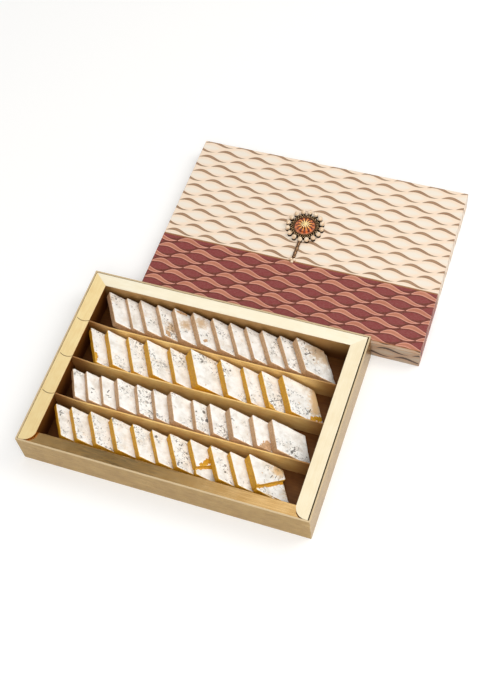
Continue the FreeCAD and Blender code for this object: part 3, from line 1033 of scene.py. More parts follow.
@dataclass
class Tray:
    """The outer tray with its folded rim panels, liner and dividers."""

    outer: FoilCard = FoilCard("tray_foil", shown(187, 155, 92), shown(157, 123, 66), 0.3,
                               (60.0, 1300.0, 1300.0), 1.0, (0.140, 0.0965, 0.037))
    # the four rim foils are copies of one foil: the back rim's near-white cream is partly painted highlight,
    # the front, left and right flaps are toned deeper as painted shade, and the steep inner walls carry painted
    # shade
    rim: FoilCard = FoilCard("rim_foil", shown(254, 246, 222), shown(249, 237, 206), 0.19,
                             upright=(shown(88, 48, 14), shown(176, 134, 76)))
    front_rim_shaded: FoilCard = FoilCard("front_rim_foil", shown(248, 208, 146), shown(226, 178, 108), 0.19,
                                   metallic=1.0, upright=(shown(110, 66, 24), shown(180, 134, 72)))
    left_rim_shaded: FoilCard = FoilCard("left_rim_foil", shown(255, 234, 176), shown(244, 213, 150), 0.2,
                                  (1300.0, 60.0, 1300.0), upright=(shown(84, 38, 4), shown(158, 98, 36)))
    right_rim_shaded: FoilCard = FoilCard("right_rim_foil", shown(249, 237, 206), shown(242, 225, 188), 0.2,
                                   (1300.0, 60.0, 1300.0), upright=(shown(92, 50, 12), shown(118, 72, 24)))
    # the dividers carry dark painted shade towards both ends
    divider: FoilCard = FoilCard("divider_foil", shown(255, 220, 144), shown(232, 182, 102), 0.42,
                                 metallic=0.15, ends=shown(134, 78, 26))
    divider_count: int = 3
    # painted shade: the liner's gold-brown foil is darkened to a deep brown for the shade inside the tray
    liner: FoilCard = FoilCard("liner_foil", shown(112, 68, 22), shown(82, 46, 12), 0.4, metallic=0.6)

    def dress(self) -> None:
        """Give each card node its foil."""
        finishes = {
            "outer_tray": self.outer, "floor_liner": self.liner, "insert_back": self.rim,
            "insert_front": self.front_rim_shaded, "insert_left": self.left_rim_shaded, "insert_right": self.right_rim_shaded}
        finishes |= {f"divider_{number + 1}": self.divider for number in range(self.divider_count)}
        made = {finish.name: finish.material() for finish in finishes.values()}
        for node, finish in finishes.items():
            Bench.dress(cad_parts[node], made[finish.name])
            LOG.info("dressed %s in %s", node, finish.name)


class Flavour(Enum):
    """What a row's paste is made with, by the record's slot for it."""

    CASHEW = "cashew_sweet"
    SAFFRON = "saffron_sweet"


class Across(Enum):
    """Which way a crack runs in a slice: across the row or along it."""

    EDGE = "edge"
    RUN = "run"


@dataclass(frozen=True)
class Crack:
    """A crack in a slice: which slice, how far in it lies and how far the far part has dropped, in metres.

    The slice holds together below the crack. Each face of the break can be turned, in degrees, so that
    it gapes towards one end, and the far part can tip down along the slice.
    """

    index: int
    reach: float
    drop: float
    way: Across = Across.RUN
    near_turn: float = 0.0
    far_turn: float = 0.0
    tip: float = 0.0


@dataclass(frozen=True)
class FaceMark:
    """A mark on a slice: which slice, its place along and across the top face and its radius, in metres.

    A mark can be drawn out by half its run, in metres, at a slant in degrees.
    """

    index: int
    along: float
    across: float
    radius: float
    kind: Mark = Mark.TEAR
    half_run: float = 0.0001
    slant: float = 7.0


@dataclass
class SweetRow:
    """One row of leaning slices; the last one lifts out by itself."""

    number: int
    flavour: Flavour
    skew: float
    lean: float
    cracks: tuple[Crack, ...] = ()
    face_marks: tuple[FaceMark, ...] = ()
    voxel: float = 0.00078
    crack_depth: float = 0.0028
    crack_run: float = 0.017
    crack_gap: float = 0.0002
    crack_slope: float = 0.06
    web_scale: float = 0.93
    bare_depth: float = 1.3
    bare_radius: float = 0.6
    lump_size: float = 0.007
    lump_height: float = 0.0007
    lump_level: float = 0.78
    marks: list[LeafMark] = field(default_factory=list)
    pieces: list[bpy.types.Object] = field(default_factory=list)

    def axes(self) -> tuple[Vector, Vector, Vector]:
        """Find the slices' own directions.

        Returns:
            Down the slope, along the edge to the back, and out of the top.
        """
        skew, lean = math.radians(self.skew), math.radians(self.lean)
        turn = Matrix.Rotation(skew, 3, "Z") @ Matrix.Rotation(lean, 3, "Y")
        return turn.col[0].copy(), turn.col[1].copy(), turn.col[2].copy()

    def corner(self, piece: bpy.types.Object) -> Vector:
        """Find the upper back corner of a slice's top face.

        Args:
            piece: The slice.

        Returns:
            The corner's place.
        """
        down, back, out = self.axes()
        places = [vertex.co for vertex in piece.data.vertices]
        low = min(place.dot(down) for place in places)
        return down * low + back * max(p.dot(back) for p in places) + out * max(p.dot(out) for p in places)

    def cut(self, piece: bpy.types.Object, point: Vector, facing: Vector) -> None:
        """Cut a slice by a plane and close it, keeping what lies behind the plane.

        Args:
            piece: The slice.
            point: A point of the plane.
            facing: The plane's direction.
        """
        Bench.edit(piece)
        bpy.ops.mesh.bisect(plane_co=point, plane_no=facing, use_fill=True, clear_outer=True)
        bpy.ops.object.mode_set(mode="OBJECT")

    def cracked(self, piece: bpy.types.Object, crack: Crack, clouds: bpy.types.Texture) -> bpy.types.Object:
        """Crack a slice from its top, and bare the paste inside the crack.

        Args:
            piece: The whole slice.
            crack: Where it cracks.
            clouds: The lumps of its surface.

        Returns:
            The softened slice: two parts, the far one lower on its top, on a web that holds them.
        """
        down, back, out = self.axes()
        facing, run = (-back, down) if crack.way is Across.RUN else (down, -back)
        start = self.corner(piece)
        point = start + facing * crack.reach
        far = Bench.copy_of(piece, Matrix.Identity(4))
        web = Bench.copy_of(piece, Matrix.Identity(4))
        near = Matrix.Rotation(math.radians(crack.near_turn), 3, out) @ facing
        beyond = Matrix.Rotation(math.radians(crack.far_turn), 3, out) @ facing
        self.cut(piece, point, near)
        self.cut(far, point + facing * self.crack_gap, -beyond)
        slope = (out + facing * self.crack_slope + down * crack.tip).normalized()
        self.cut(far, start - out * crack.drop, slope)
        self.cut(web, start - out * self.crack_depth, out)
        places = [vertex.co for vertex in web.data.vertices]
        Bench.edit(web)
        bpy.ops.transform.resize(value=(self.web_scale, self.web_scale, self.web_scale),
                                 center_override=sum(places, Vector()) / len(places))
        bpy.ops.object.mode_set(mode="OBJECT")
        for part in (piece, far, web):
            self.soften(part, clouds)
        for part in (web, far):
            Bench.modify(piece, "BOOLEAN", operation="UNION", solver="MANIFOLD", object=part)
            bpy.data.objects.remove(part)
        turn = math.radians((crack.near_turn + crack.far_turn) / 2)
        line = Matrix.Rotation(turn, 3, out) @ run * self.crack_run
        bare = point + line - out * self.crack_depth * self.bare_depth
        radius = self.crack_depth * self.bare_radius
        self.marks.append(LeafMark(tuple(bare), tuple(line), radius, Mark.TEAR))
        return piece

    def soften(self, piece: bpy.types.Object, clouds: bpy.types.Texture) -> None:
        """Turn a plain solid into a hand-cut one with soft, uneven edges.

        Args:
            piece: The solid.
            clouds: The lumps of its surface.
        """
        Bench.modify(piece, "REMESH", mode="VOXEL", voxel_size=self.voxel)
        Bench.modify(piece, "SMOOTH", factor=0.5, iterations=2)
        Bench.modify(piece, "DISPLACE", texture=clouds, texture_coords="LOCAL", strength=self.lump_height,
                     mid_level=self.lump_level)

    def slices_of(self, node: str) -> list[bpy.types.Object]:
        """Part a CAD node into its slices.

        Args:
            node: The node's name.

        Returns:
            The slices, from left to right.
        """
        Bench.edit(Bench.from_node(node))
        bpy.ops.mesh.separate(type="LOOSE")
        bpy.ops.object.mode_set(mode="OBJECT")
        found = list(bpy.context.selected_objects)
        return sorted(found, key=lambda piece: min(vertex.co.x for vertex in piece.data.vertices))

    def build(self) -> None:
        """Model the row's slices in place of their CAD nodes."""
        clouds = bpy.data.textures.new(f"row_{self.number}_lumps", "CLOUDS")
        clouds.noise_scale = self.lump_size
        clouds.noise_depth = 2
        down, back, _ = self.axes()
        count = 0
        for node, body in ((f"row_{self.number}_slices", "tray"),
                           (f"row_{self.number}_end_slice", f"slice_{self.number}")):
            parts = []
            for piece in self.slices_of(node):
                start = self.corner(piece)
                for mark in (m for m in self.face_marks if m.index == count):
                    centre = start + down * mark.along - back * mark.across
                    slant = math.radians(mark.slant)
                    run = (down * math.cos(slant) + back * math.sin(slant)) * mark.half_run
                    self.marks.append(LeafMark(tuple(centre), tuple(run), mark.radius, mark.kind))
                crack = next((c for c in self.cracks if c.index == count), None)
                if crack:
                    piece = self.cracked(piece, crack, clouds)
                else:
                    self.soften(piece, clouds)
                parts.append(piece)
                count += 1
            row = Bench.join(parts, f"sweet_{node}")
            Bench.pick(row)
            bpy.ops.object.shade_smooth()
            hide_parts(node)
            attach(row, body)
            self.pieces.append(row)
            LOG.info("built %s, %d faces", row.name, len(row.data.polygons))


@dataclass
class Sweets:
    """All four rows, with one finish for each flavour."""

    rows: tuple[SweetRow, ...] = field(default_factory=lambda: (
        SweetRow(1, Flavour.CASHEW, 32.0, 31.0, (Crack(11, 0.0275, 0.0012, Across.EDGE),), (
            FaceMark(11, 0.0215, 0.0150, 0.0150, Mark.THIN), FaceMark(11, 0.0262, 0.0240, 0.0090, Mark.THIN),
            FaceMark(11, 0.0255, 0.0130, 0.0030), FaceMark(11, 0.0076, 0.0185, 0.0008, Mark.SPOT, 0.0030, 20.0),
            FaceMark(3, 0.0050, 0.0345, 0.0030), FaceMark(3, 0.0090, 0.0280, 0.0075, Mark.THIN),
            FaceMark(4, 0.0073, 0.0061, 0.0016, half_run=0.0040, slant=-20.0),
            FaceMark(4, 0.0090, 0.0200, 0.0070, Mark.THIN), FaceMark(5, 0.0060, 0.0125, 0.0075, Mark.THIN),
            FaceMark(5, 0.0060, 0.0330, 0.0020))),
        SweetRow(2, Flavour.SAFFRON, 30.0, 30.5, (), (
            FaceMark(9, 0.0262, 0.0462, 0.0028, half_run=0.0050),
            FaceMark(9, 0.0290, 0.0265, 0.0070, Mark.THIN, 0.0120, 75.0),
            FaceMark(9, 0.0169, 0.0400, 0.0005, Mark.SPOT, 0.0022, 60.0),
            FaceMark(9, 0.0206, 0.0375, 0.0005, Mark.SPOT, 0.0022, 55.0),
            FaceMark(8, 0.0087, 0.0322, 0.0004, Mark.SPOT, 0.0072, 14.0),
            FaceMark(8, 0.0015, 0.0384, 0.0022, half_run=0.0030, slant=-45.0),
            FaceMark(5, 0.0095, 0.0142, 0.0012, Mark.SPOT),
            FaceMark(0, 0.0010, 0.0342, 0.0018, half_run=0.0040, slant=80.0))),
        SweetRow(3, Flavour.CASHEW, 27.0, 31.0, (), (
            FaceMark(10, 0.0087, 0.0321, 0.0045, half_run=0.0030, slant=30.0),
            FaceMark(11, 0.0152, 0.0325, 0.0012, Mark.SPOT),
            FaceMark(11, 0.0175, 0.0300, 0.0007, Mark.SPOT, 0.0015, 40.0),
            FaceMark(7, 0.0097, 0.0126, 0.0014, Mark.SPOT), FaceMark(7, 0.0115, 0.0206, 0.0018, Mark.SPOT),
            FaceMark(7, 0.0023, 0.0125, 0.0008, Mark.SPOT),
            FaceMark(2, 0.0060, 0.0170, 0.0005, Mark.SPOT, 0.0014, 50.0),
            FaceMark(2, 0.0045, 0.0215, 0.0005, Mark.SPOT, 0.0016, -20.0),
            FaceMark(2, 0.0070, 0.0235, 0.0004, Mark.SPOT, 0.0012, 10.0),
            FaceMark(1, 0.0055, 0.0190, 0.0005, Mark.SPOT, 0.0014, -30.0),
            FaceMark(1, 0.0040, 0.0230, 0.0006, Mark.SPOT))),
        SweetRow(4, Flavour.SAFFRON, 32.0, 31.0, (
            Crack(7, 0.0285, 0.0006, near_turn=5.0),
            Crack(10, 0.0320, 0.0002, near_turn=10.5, far_turn=7.0, tip=0.08)), (
            FaceMark(7, 0.0112, 0.0243, 0.0026, half_run=0.0060, slant=30.0),
            FaceMark(10, 0.0265, 0.0178, 0.0080, Mark.THIN),
            FaceMark(10, 0.0209, 0.0241, 0.0005, Mark.SPOT, 0.0025, 50.0),
            FaceMark(10, 0.0170, 0.0230, 0.0004, Mark.SPOT, 0.0020, 40.0),
            FaceMark(10, 0.0300, 0.0405, 0.0060, Mark.THIN), FaceMark(10, 0.0015, 0.0320, 0.0020),
            FaceMark(5, 0.0030, 0.0078, 0.0012, Mark.SPOT),
            FaceMark(0, 0.0035, 0.0086, 0.0004, Mark.SPOT, 0.0018, 40.0),
            FaceMark(0, 0.0050, 0.0105, 0.0004, Mark.SPOT, 0.0016, -20.0),
            FaceMark(0, 0.0030, 0.0125, 0.0005, Mark.SPOT, 0.0010, 60.0))),
    ))
    facing: tuple[float, float, float] = (0.443, 0.257, 0.859)

    def build(self) -> None:
        """Model every row, then dress each in its flavour."""
        finishes = {
            # each finish's last colour is the painted highlight on the paste along the leaf's edge
            Flavour.CASHEW: LeafedPaste("cashew_leafed", shown(214, 176, 136), shown(178, 138, 98), self.facing,
                                         shown(206, 172, 126), shown(240, 210, 168)),
            Flavour.SAFFRON: LeafedPaste("saffron_leafed", shown(224, 168, 32), shown(190, 130, 6), self.facing,
                                          shown(222, 180, 112), shown(250, 212, 112)),
        }
        for row in self.rows:
            row.build()
        for flavour, finish in finishes.items():
            rows = [row for row in self.rows if row.flavour is flavour]
            material = finish.material([mark for row in rows for mark in row.marks])
            for piece in (piece for row in rows for piece in row.pieces):
                Bench.dress(piece, material)


@dataclass
class Lid:
    """The printed lid: its board and three stretches of paper."""

    centre: tuple[float, float, float] = (0.0445, 0.1968, 0.022)
    half_size: tuple[float, float] = (141.8, 98.3)
    band_edge: float = -28.3
    front_lap: float = -95.5

    def dress(self) -> None:
        """Give the board and the papers their finishes."""
        shared = {"centre": self.centre, "half_size": self.half_size}
        waves = {"rise": 2.0, "width": 3.5, "span": 0.97, "taper": 1.2, "eye": (8.0, 4.8, 14.0, 5.4),
                 "eye_edge": 0.8}
        papers = {
            "lid_paper_cream": PrintedPaper(
                "cream_print", shown(245, 222, 198), shown(241, 231, 216), shown(168, 132, 100),
                shown(150, 114, 84), **waves, **shared, outline=shown(138, 114, 88), vein=shown(180, 140, 104),
                rules=((self.band_edge, 1.6),)),
            # painted shade: the front lap's print is a darker copy of the cream print, for the shade on the
            # front wall
            "lid_paper_front": PrintedPaper(
                "front_print_painted_shade", shown(182, 148, 120), shown(184, 164, 142), shown(78, 50, 28), shown(62, 38, 20),
                **waves, **shared, outline=shown(64, 42, 26), vein=shown(84, 54, 32),
                rules=((-self.half_size[1], 0.7),)),
            "lid_paper_maroon": PrintedPaper(
                "maroon_print", shown(104, 34, 10), shown(132, 48, 46), shown(196, 126, 98),
                shown(182, 112, 84), rise=2.1, width=5.2, span=0.99, taper=0.9, eye=(9.0, 4.2, 13.0, 4.6),
                **shared, outline=shown(226, 160, 142), vein=shown(168, 100, 74), vein_share=0.7,
                eye_edge=0.3, outline_band=(0.5, 1.0),
                rules=((self.band_edge, 1.8), (self.front_lap, 2.0))),
        }
        Bench.dress(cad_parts["lid_board"], BareBoard("lid_bare_board").material())
        for node, paper in papers.items():
            Bench.dress(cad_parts[node], paper.material())
            LOG.info("dressed %s in %s", node, paper.name)


@dataclass
class Brooch:
    """The brooch: pearls round a rayed stone, on a bronze plate with a stem and three beads.

    Sizes are in metres, and the stem's profile gives each ring's step along the stem and its radius.
    """

    metals: tuple[AntiqueBronze, AntiqueBronze, AntiqueBronze] = (
        AntiqueBronze("antique_bronze", shown(30, 16, 9), shown(104, 72, 44), 0.0004, 0.003),
        AntiqueBronze("rubbed_bronze", shown(46, 29, 18), shown(138, 106, 78), -0.0012, 0.0024),
        AntiqueBronze("gilt_bronze", shown(60, 36, 20), shown(250, 218, 172), 0.0011, 0.0019))
    bead_sides: int = 20
    bead_rings: int = 12
    bead_smooth: float = 80.0
    bead_level: float = 0.8
    drilled: float = 0.9
    flattened: float = 0.96
    pearl_count: int = 16
    pearl_radius: float = 0.0025
    pearl_lumps: float = 0.00016
    pearl_tilt: tuple[float, float] = (0.2, 1.2)
    pearl_seed: int = 11
    ring_radius: float = 0.0173
    rope_beads: int = 44
    rope_radius: float = 0.0111
    granules: int = 32
    granule_radius: float = 0.00055
    granule_lumps: float = 0.00003
    foot_radius: float = 0.0016
    foot_lumps: float = 0.0001
    girdle: float = 0.0018
    facets: int = 16
    crown_steps: tuple[tuple[float, float], ...] = ((0.52, 0.74), (0.4, 0.5))
    table_rise: float = 0.06
    rope_bead: float = 0.0005
    rope_shape: tuple[float, float, float] = (2.0, 0.95, 0.95)
    rope_turn: float = 38.0
    rope_sink: float = 0.0002
    granule_sink: float = 0.0006
    granule_insets: tuple[float, float] = (0.0005, 0.0019)
    stem_axis: float = 0.0011
    stem_base: float = 0.00005
    stem_profile: tuple[tuple[float, float], ...] = (
        (0.0000, 0.0018), (0.0008, 0.0018), (0.0004, 0.0016), (0.0006, 0.0018), (0.0005, 0.0017),
        (0.0040, 0.0017), (0.0005, 0.0018), (0.0005, 0.0018), (0.0004, 0.0017), (0.0048, 0.0017),
        (0.0005, 0.0018), (0.0005, 0.0018), (0.0004, 0.0017), (0.0036, 0.0017), (0.0005, 0.0018),
        (0.0008, 0.0018), (0.0005, 0.0016))

    def __post_init__(self) -> None:
        """Find the brooch's middle and its finishes."""
        low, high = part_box("brooch_plate")
        self.centre = Vector(((low.x + high.x) / 2, (low.y + high.y) / 2, low.z))
        self.bronze, self.rubbed, self.gilt = (metal.material(high.z) for metal in self.metals)
        self.pearl = PearlLacquer("cream_pearl").material()

    def place(self, radius: float, share: float, height: float) -> Matrix:
        """Find a place on a ring round the middle, turned to face outwards.

        Args:
            radius: The ring's radius.
            share: Share of a turn, from the front.
            height: Height over the lid.

        Returns:
            The place as a matrix.
        """
        angle = math.tau * share - math.pi / 2
        spot = self.centre + Vector((radius * math.cos(angle), radius * math.sin(angle), height))
        return Matrix.Translation(spot) @ Matrix.Rotation(angle, 4, "Z")

    def ring(self, model: bpy.types.Object, name: str, places: list[Matrix]) -> bpy.types.Object:
        """Copy a model to each place, join the copies and drop the model.

        Args:
            model: The piece to repeat.
            name: The joined piece's name.
            places: Where the copies go.

        Returns:
            The joined piece.
        """
        copies = [Bench.copy_of(model, place) for place in places]
        bpy.data.objects.remove(model)
        return Bench.join(copies, name)

    def seat(self, piece: bpy.types.Object, material: bpy.types.Material, slot: str, *nodes: str) -> None:
        """Dress a piece, let it ride on the lid and stand for its CAD nodes.

        Args:
            piece: The piece to seat.
            material: Its finish.
            slot: The record's slot that the finish belongs to; not used.
            *nodes: CAD nodes that it replaces.
        """
        Bench.dress(piece, material)
        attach(piece, "lid")
        if nodes:
            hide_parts(*nodes)
        LOG.info("built %s, %d faces", piece.name, len(piece.data.polygons))

    def bead(self, radius: float, lumps: float, name: str) -> bpy.types.Object:
        """Model a bead that is a little uneven and flattened at its drilled ends.

        Args:
            radius: The bead's radius.
            lumps: How uneven it is, in metres.
            name: The bead's name.

        Returns:
            The bead.
        """
        Bench.clear()
        bpy.ops.mesh.primitive_uv_sphere_add(segments=self.bead_sides, ring_count=self.bead_rings,
                                             radius=radius)
        piece = bpy.context.object
        bpy.ops.object.mode_set(mode="EDIT")
        bpy.ops.mesh.select_all(action="DESELECT")
        bpy.ops.object.mode_set(mode="OBJECT")
        for vertex in piece.data.vertices:
            vertex.select = abs(vertex.co.z) > radius * self.drilled
        bpy.ops.object.mode_set(mode="EDIT")
        bpy.ops.transform.resize(value=(1.0, 1.0, self.flattened))
        bpy.ops.object.mode_set(mode="OBJECT")
        clouds = bpy.data.textures.new(f"{name}_lumps", "CLOUDS")
        clouds.noise_scale = radius
        Bench.modify(piece, "DISPLACE", texture=clouds, texture_coords="LOCAL", strength=lumps,
                     mid_level=self.bead_level)
        return Bench.settle(piece, name, self.bead_smooth)

    def build_pearls(self) -> None:
        """Model one pearl and set it round the plate, each turned its own way."""
        chance = random.Random(self.pearl_seed)
        low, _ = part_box("brooch_pearls")
        height = low.z + self.pearl_radius - self.centre.z
        model = self.bead(self.pearl_radius, self.pearl_lumps, "pearl_model")
        places = []
        for step in range(self.pearl_count):
            turn = Matrix.Rotation(chance.uniform(0.0, math.tau), 4, "Z")
            tilt = Matrix.Rotation(chance.uniform(*self.pearl_tilt), 4, "X")
            places.append(self.place(self.ring_radius, step / self.pearl_count, height) @ (turn @ tilt))
        self.seat(self.ring(model, "brooch_pearl_ring", places), self.pearl, "pearl", "brooch_pearls")

    def build_gem(self) -> None:
        """Cut the stone: a round girdle, two rings of crown facets and a pointed table."""
        low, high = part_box("brooch_gem")
        radius = (high.x - low.x) / 2
        girdle_middle = (self.centre.x, self.centre.y, low.z + self.girdle / 2)
        Bench.clear()
        bpy.ops.mesh.primitive_cylinder_add(vertices=self.facets, radius=radius, depth=self.girdle,
                                            location=girdle_middle)
        piece = bpy.context.object
        bpy.ops.object.transform_apply(location=True, rotation=True, scale=True)
        crown = high.z - low.z - self.girdle
        middle = (self.centre.x, self.centre.y, high.z)
        for polygon in piece.data.polygons:
            polygon.select = polygon.normal.z > 0.9
        for vertex in piece.data.vertices:
            vertex.select = vertex.co.z > low.z + self.girdle * 0.9
        bpy.ops.object.mode_set(mode="EDIT")
        bpy.ops.mesh.select_mode(type="FACE")
        for share, size in self.crown_steps:
            bpy.ops.mesh.extrude_region_move(TRANSFORM_OT_translate={"value": (0.0, 0.0, crown * share)})
            bpy.ops.transform.resize(value=(size, size, 1.0), center_override=middle)
            bpy.ops.transform.rotate(value=math.pi / self.facets, orient_axis="Z", center_override=middle)
        bpy.ops.mesh.poke(offset=crown * self.table_rise)
        bpy.ops.mesh.select_all(action="SELECT")
        bpy.ops.mesh.quads_convert_to_tris(quad_method="BEAUTY")
        bpy.ops.object.mode_set(mode="OBJECT")
        bpy.ops.object.shade_flat()
        piece.name = piece.data.name = "brooch_star_stone"
        gem = AmberGem("amber_stone", (self.centre.x, self.centre.y, 0.0), radius)
        self.seat(piece, gem.material(), "amber_glass", "brooch_gem")

    def build_rope(self) -> None:
        """Lay a rope of slanted beads on the bezel."""
        _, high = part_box("brooch_bezel")
        Bench.clear()
        bpy.ops.mesh.primitive_uv_sphere_add(segments=12, ring_count=8, radius=self.rope_bead)
        model = bpy.context.object
        bpy.ops.object.mode_set(mode="EDIT")
        bpy.ops.mesh.select_all(action="SELECT")
        bpy.ops.transform.resize(value=self.rope_shape)
        bpy.ops.transform.rotate(value=math.radians(self.rope_turn), orient_axis="Z", center_override=ORIGIN)
        bpy.ops.object.mode_set(mode="OBJECT")
        Bench.settle(model, "rope_model", self.bead_smooth)
        height = high.z - self.centre.z - self.rope_sink
        shares = [step / self.rope_beads for step in range(self.rope_beads)]
        places = [self.place(self.rope_radius, share, height) for share in shares]
        self.seat(self.ring(model, "brooch_rope", places), self.rubbed, "bronze")

    def build_granules(self) -> None:
        """Set small granules round the filigree, between the pearls and the bezel."""
        low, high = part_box("brooch_filigree")
        outer = (high.x - low.x) / 2
        height = high.z - self.centre.z - self.granule_sink
        model = self.bead(self.granule_radius, self.granule_lumps, "granule_model")
        places = []
        for ring, inset in enumerate(self.granule_insets):
            for step in range(self.granules):
                share = (step + 0.5 * ring) / self.granules
                places.append(self.place(outer - inset, share, height))
        self.seat(self.ring(model, "brooch_granules", places), self.gilt, "bronze")

    def build_stem(self) -> None:
        """Draw the stem out of a disc, ring by ring, and flatten its underside on the lid."""
        low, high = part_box("brooch_stem")
        first = self.stem_profile[0][1]
        middle_x = (low.x + high.x) / 2
        axis_z = self.centre.z + self.stem_axis
        Bench.clear()
        bpy.ops.mesh.primitive_circle_add(vertices=16, radius=first, fill_type="NGON",
                                          location=(middle_x, high.y, axis_z), rotation=(math.pi / 2, 0.0, 0.0))
        piece = bpy.context.object
        bpy.ops.object.transform_apply(location=True, rotation=True, scale=True)
        bpy.ops.object.mode_set(mode="EDIT")
        bpy.ops.mesh.select_all(action="SELECT")
        y, before = high.y, first
        for run, radius in self.stem_profile[1:]:
            y -= run
            bpy.ops.mesh.extrude_region_move(TRANSFORM_OT_translate={"value": (0.0, -run, 0.0)})
            scale = radius / before
            bpy.ops.transform.resize(value=(scale, 1.0, scale), center_override=(middle_x, y, axis_z))
            before = radius
        bpy.ops.mesh.select_all(action="SELECT")
        bpy.ops.mesh.bisect(plane_co=(middle_x, y, self.centre.z + self.stem_base),
                            plane_no=(0.0, 0.0, -1.0), use_fill=True, clear_outer=True)
        bpy.ops.mesh.select_all(action="SELECT")
        bpy.ops.mesh.normals_make_consistent(inside=False)
        bpy.ops.object.mode_set(mode="OBJECT")
        Bench.settle(piece, "brooch_ringed_stem", 35.0)
        self.seat(piece, self.rubbed, "bronze", "brooch_stem")

    def build_foot(self) -> None:
        """Model one foot bead and set three where the CAD beads are."""
        low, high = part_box("brooch_foot_beads")
        radius = self.foot_radius
        middle_x = (low.x + high.x) / 2
        model = self.bead(radius, self.foot_lumps, "foot_model")
        back = high.y - radius
        spots = ((low.x + radius, back), (high.x - radius, back), (middle_x, low.y + radius))
        places = [Matrix.Translation((x, y, (low.z + high.z) / 2)) for x, y in spots]
        self.seat(self.ring(model, "brooch_foot", places), self.pearl, "pearl", "brooch_foot_beads")

    def build(self) -> None:
        """Dress what stays of the CAD brooch and model the rest."""
        for node in ("brooch_plate", "brooch_bezel", "brooch_filigree", "brooch_pearl_cups"):
            Bench.dress(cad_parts[node], self.bronze)
        self.build_pearls()
        self.build_gem()
        self.build_rope()
        self.build_granules()
        self.build_stem()
        self.build_foot()


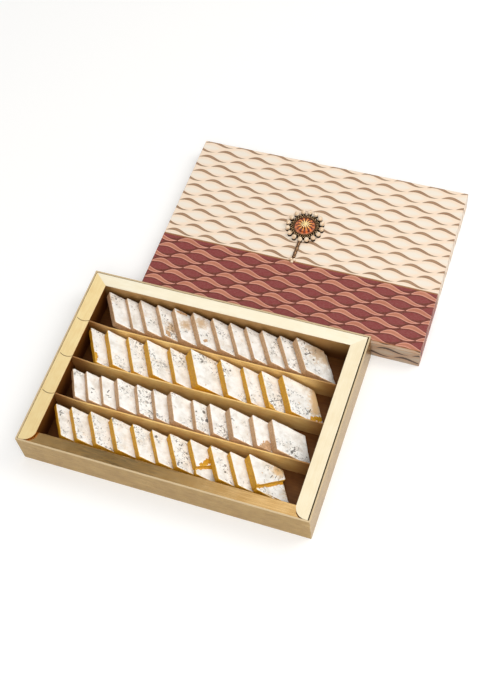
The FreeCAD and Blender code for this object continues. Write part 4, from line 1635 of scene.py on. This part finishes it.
@dataclass
class Studio:
    """Pale floor, soft light and the photograph's camera."""

    floor_size: float = 8.0
    floor_colour: Colour = (0.74, 0.74, 0.735, 1.0)
    floor_glow: float = 0.3
    ambient: float = 0.2
    soft_box: float = 0.84
    front_fill: float = 0.15
    key_energy: float = 9.0
    fill_energy: float = 8.5
    fill_place: tuple[float, float, float] = (0.35, -0.75, 1.3)
    lamp_size: float = 0.9
    key_place: tuple[float, float, float] = (1.1, 0.7, 1.35)
    key_target: tuple[float, float, float] = (0.05, 0.05, 0.0)
    eye: tuple[float, float, float] = (0.279585, -0.442403, 0.940345)
    right: tuple[float, float, float] = (0.9418090634, 0.3243155633, -0.0884030739)
    down: tuple[float, float, float] = (0.2336416377, -0.8206435259, -0.5214938048)
    ahead: tuple[float, float, float] = (-0.2416759674, 0.4704929529, -0.8486631299)
    focal_pixels: float = 1135.83
    frame_height: float = 681.0
    sensor: float = 36.0
    lamp_colour: tuple[float, float, float] = (1.0, 0.985, 0.96)
    dome_colour: Colour = (1.0, 0.99, 0.975, 1.0)
    flag_depth: float = 0.88
    horizon: float = 0.92
    horizon_span: tuple[float, float] = (0.18, 0.32)
    flag_back: tuple[float, float] = (0.55, 0.6)
    flag_rise: tuple[float, float] = (0.34, 0.5)
    flag_right: tuple[float, float] = (-0.30, -0.20)
    flag_left: tuple[float, float] = (-0.44, -0.30)
    box_rise: tuple[float, float] = (0.6, 0.72)
    box_left: tuple[float, float] = (-0.46, -0.375)
    front_span: tuple[float, float] = (-0.5, 0.1)
    clip: tuple[float, float] = (0.01, 50.0)

    def build_floor(self) -> None:
        """Lay a plain white floor that keeps the object's shadow."""
        Bench.clear()
        bpy.ops.mesh.primitive_plane_add(size=self.floor_size)
        floor = bpy.context.object
        floor.name = "studio_floor"
        material = bpy.data.materials.new("studio_white")
        material.use_nodes = True
        sheet = NodeSheet(material.node_tree)
        material.node_tree.nodes.remove(material.node_tree.nodes["Principled BSDF"])
        path = sheet.add("ShaderNodeLightPath")
        seen = sheet.math("MAXIMUM", path.outputs["Is Camera Ray"], path.outputs["Is Glossy Ray"])
        seen = sheet.math("MAXIMUM", seen, path.outputs["Is Transmission Ray"])
        diffuse = sheet.add("ShaderNodeBsdfDiffuse")
        diffuse.inputs["Color"].default_value = self.floor_colour
        glow = sheet.add("ShaderNodeEmission")
        sheet.feed(glow.inputs["Strength"], sheet.math("MULTIPLY", seen, self.floor_glow))
        total = sheet.add("ShaderNodeAddShader")
        sheet.feed(total.inputs[0], diffuse.outputs[0])
        sheet.feed(total.inputs[1], glow.outputs[0])
        sheet.feed(material.node_tree.nodes["Material Output"].inputs["Surface"], total.outputs[0])
        Bench.dress(floor, material)

    def build_world(self) -> None:
        """Make the studio's dome: a soft box overhead, a dark flag behind it and a pale horizon."""
        world = bpy.data.worlds.new("studio_dome")
        world.use_nodes = True
        bpy.context.scene.world = world
        sheet = NodeSheet(world.node_tree)
        x, y, z = sheet.split(sheet.add("ShaderNodeTexCoord").outputs["Generated"])
        shade = sheet.math("MULTIPLY", sheet.step(y, *self.flag_back), sheet.step(z, *self.flag_rise))
        shade = sheet.math("MULTIPLY", shade, sheet.step(x, *self.flag_right, 1.0, 0.0))
        shade = sheet.math("MULTIPLY", shade, sheet.step(x, *self.flag_left, 0.3, 1.0))
        lit = sheet.math("SUBTRACT", 1.0, shade)
        edge = sheet.math("MULTIPLY_ADD", sheet.math("SUBTRACT", y, 0.47), 0.6, x)
        box = sheet.math("MULTIPLY", sheet.step(z, *self.box_rise), sheet.step(edge, *self.box_left, 0.3, 1.0))
        box = sheet.math("MULTIPLY", box, lit)
        front = sheet.math("MULTIPLY", sheet.step(y, *self.front_span, 1.0, 0.0), self.front_fill)
        level = sheet.math("MULTIPLY_ADD", box, self.soft_box, sheet.math("ADD", front, self.ambient))
        level = sheet.math("MULTIPLY", level, sheet.math("MULTIPLY_ADD", shade, -self.flag_depth, 1.0))
        level = sheet.math("MAXIMUM", level, sheet.step(z, *self.horizon_span, self.horizon, 0.0))
        background = world.node_tree.nodes["Background"]
        background.inputs["Color"].default_value = self.dome_colour
        sheet.feed(background.inputs["Strength"], level)

    def build_lamps(self) -> None:
        """Hang a large soft key behind and to the right, and a fill beside the camera."""
        for name, place, energy in (("studio_key", self.key_place, self.key_energy),
                                    ("studio_fill", self.fill_place, self.fill_energy)):
            Bench.clear()
            bpy.ops.object.light_add(type="AREA", location=place)
            lamp = bpy.context.object
            lamp.name = name
            lamp.data.energy = energy
            lamp.data.size = self.lamp_size
            lamp.data.color = self.lamp_colour
            aim = Vector(self.key_target) - Vector(place)
            lamp.rotation_euler = aim.to_track_quat("-Z", "Y").to_euler()

    def build_camera(self) -> None:
        """Stand the camera where the photograph was taken."""
        data = bpy.data.cameras.new("photo_camera")
        data.sensor_fit = "VERTICAL"
        data.sensor_height = self.sensor
        data.lens = self.focal_pixels / self.frame_height * self.sensor
        data.clip_start, data.clip_end = self.clip
        camera = bpy.data.objects.new("photo_camera", data)
        bpy.context.scene.collection.objects.link(camera)
        right, up, back = Vector(self.right), -Vector(self.down), -Vector(self.ahead)
        turn = Matrix((right, up, back)).transposed().to_4x4()
        camera.matrix_world = Matrix.Translation(self.eye) @ turn
        bpy.context.scene.camera = camera

    def build(self) -> None:
        """Set up the whole studio."""
        self.build_floor()
        self.build_world()
        self.build_lamps()
        self.build_camera()
        bpy.context.scene.view_settings.view_transform = "Standard"


def main() -> None:
    """Build the sub-assemblies in order."""
    logging.basicConfig(level=logging.INFO, format="%(name)s: %(message)s")
    Bench.clear()
    Tray().dress()
    Sweets().build()
    Lid().dress()
    Brooch().build()
    Studio().build()


if __name__ == "__main__":
    main()
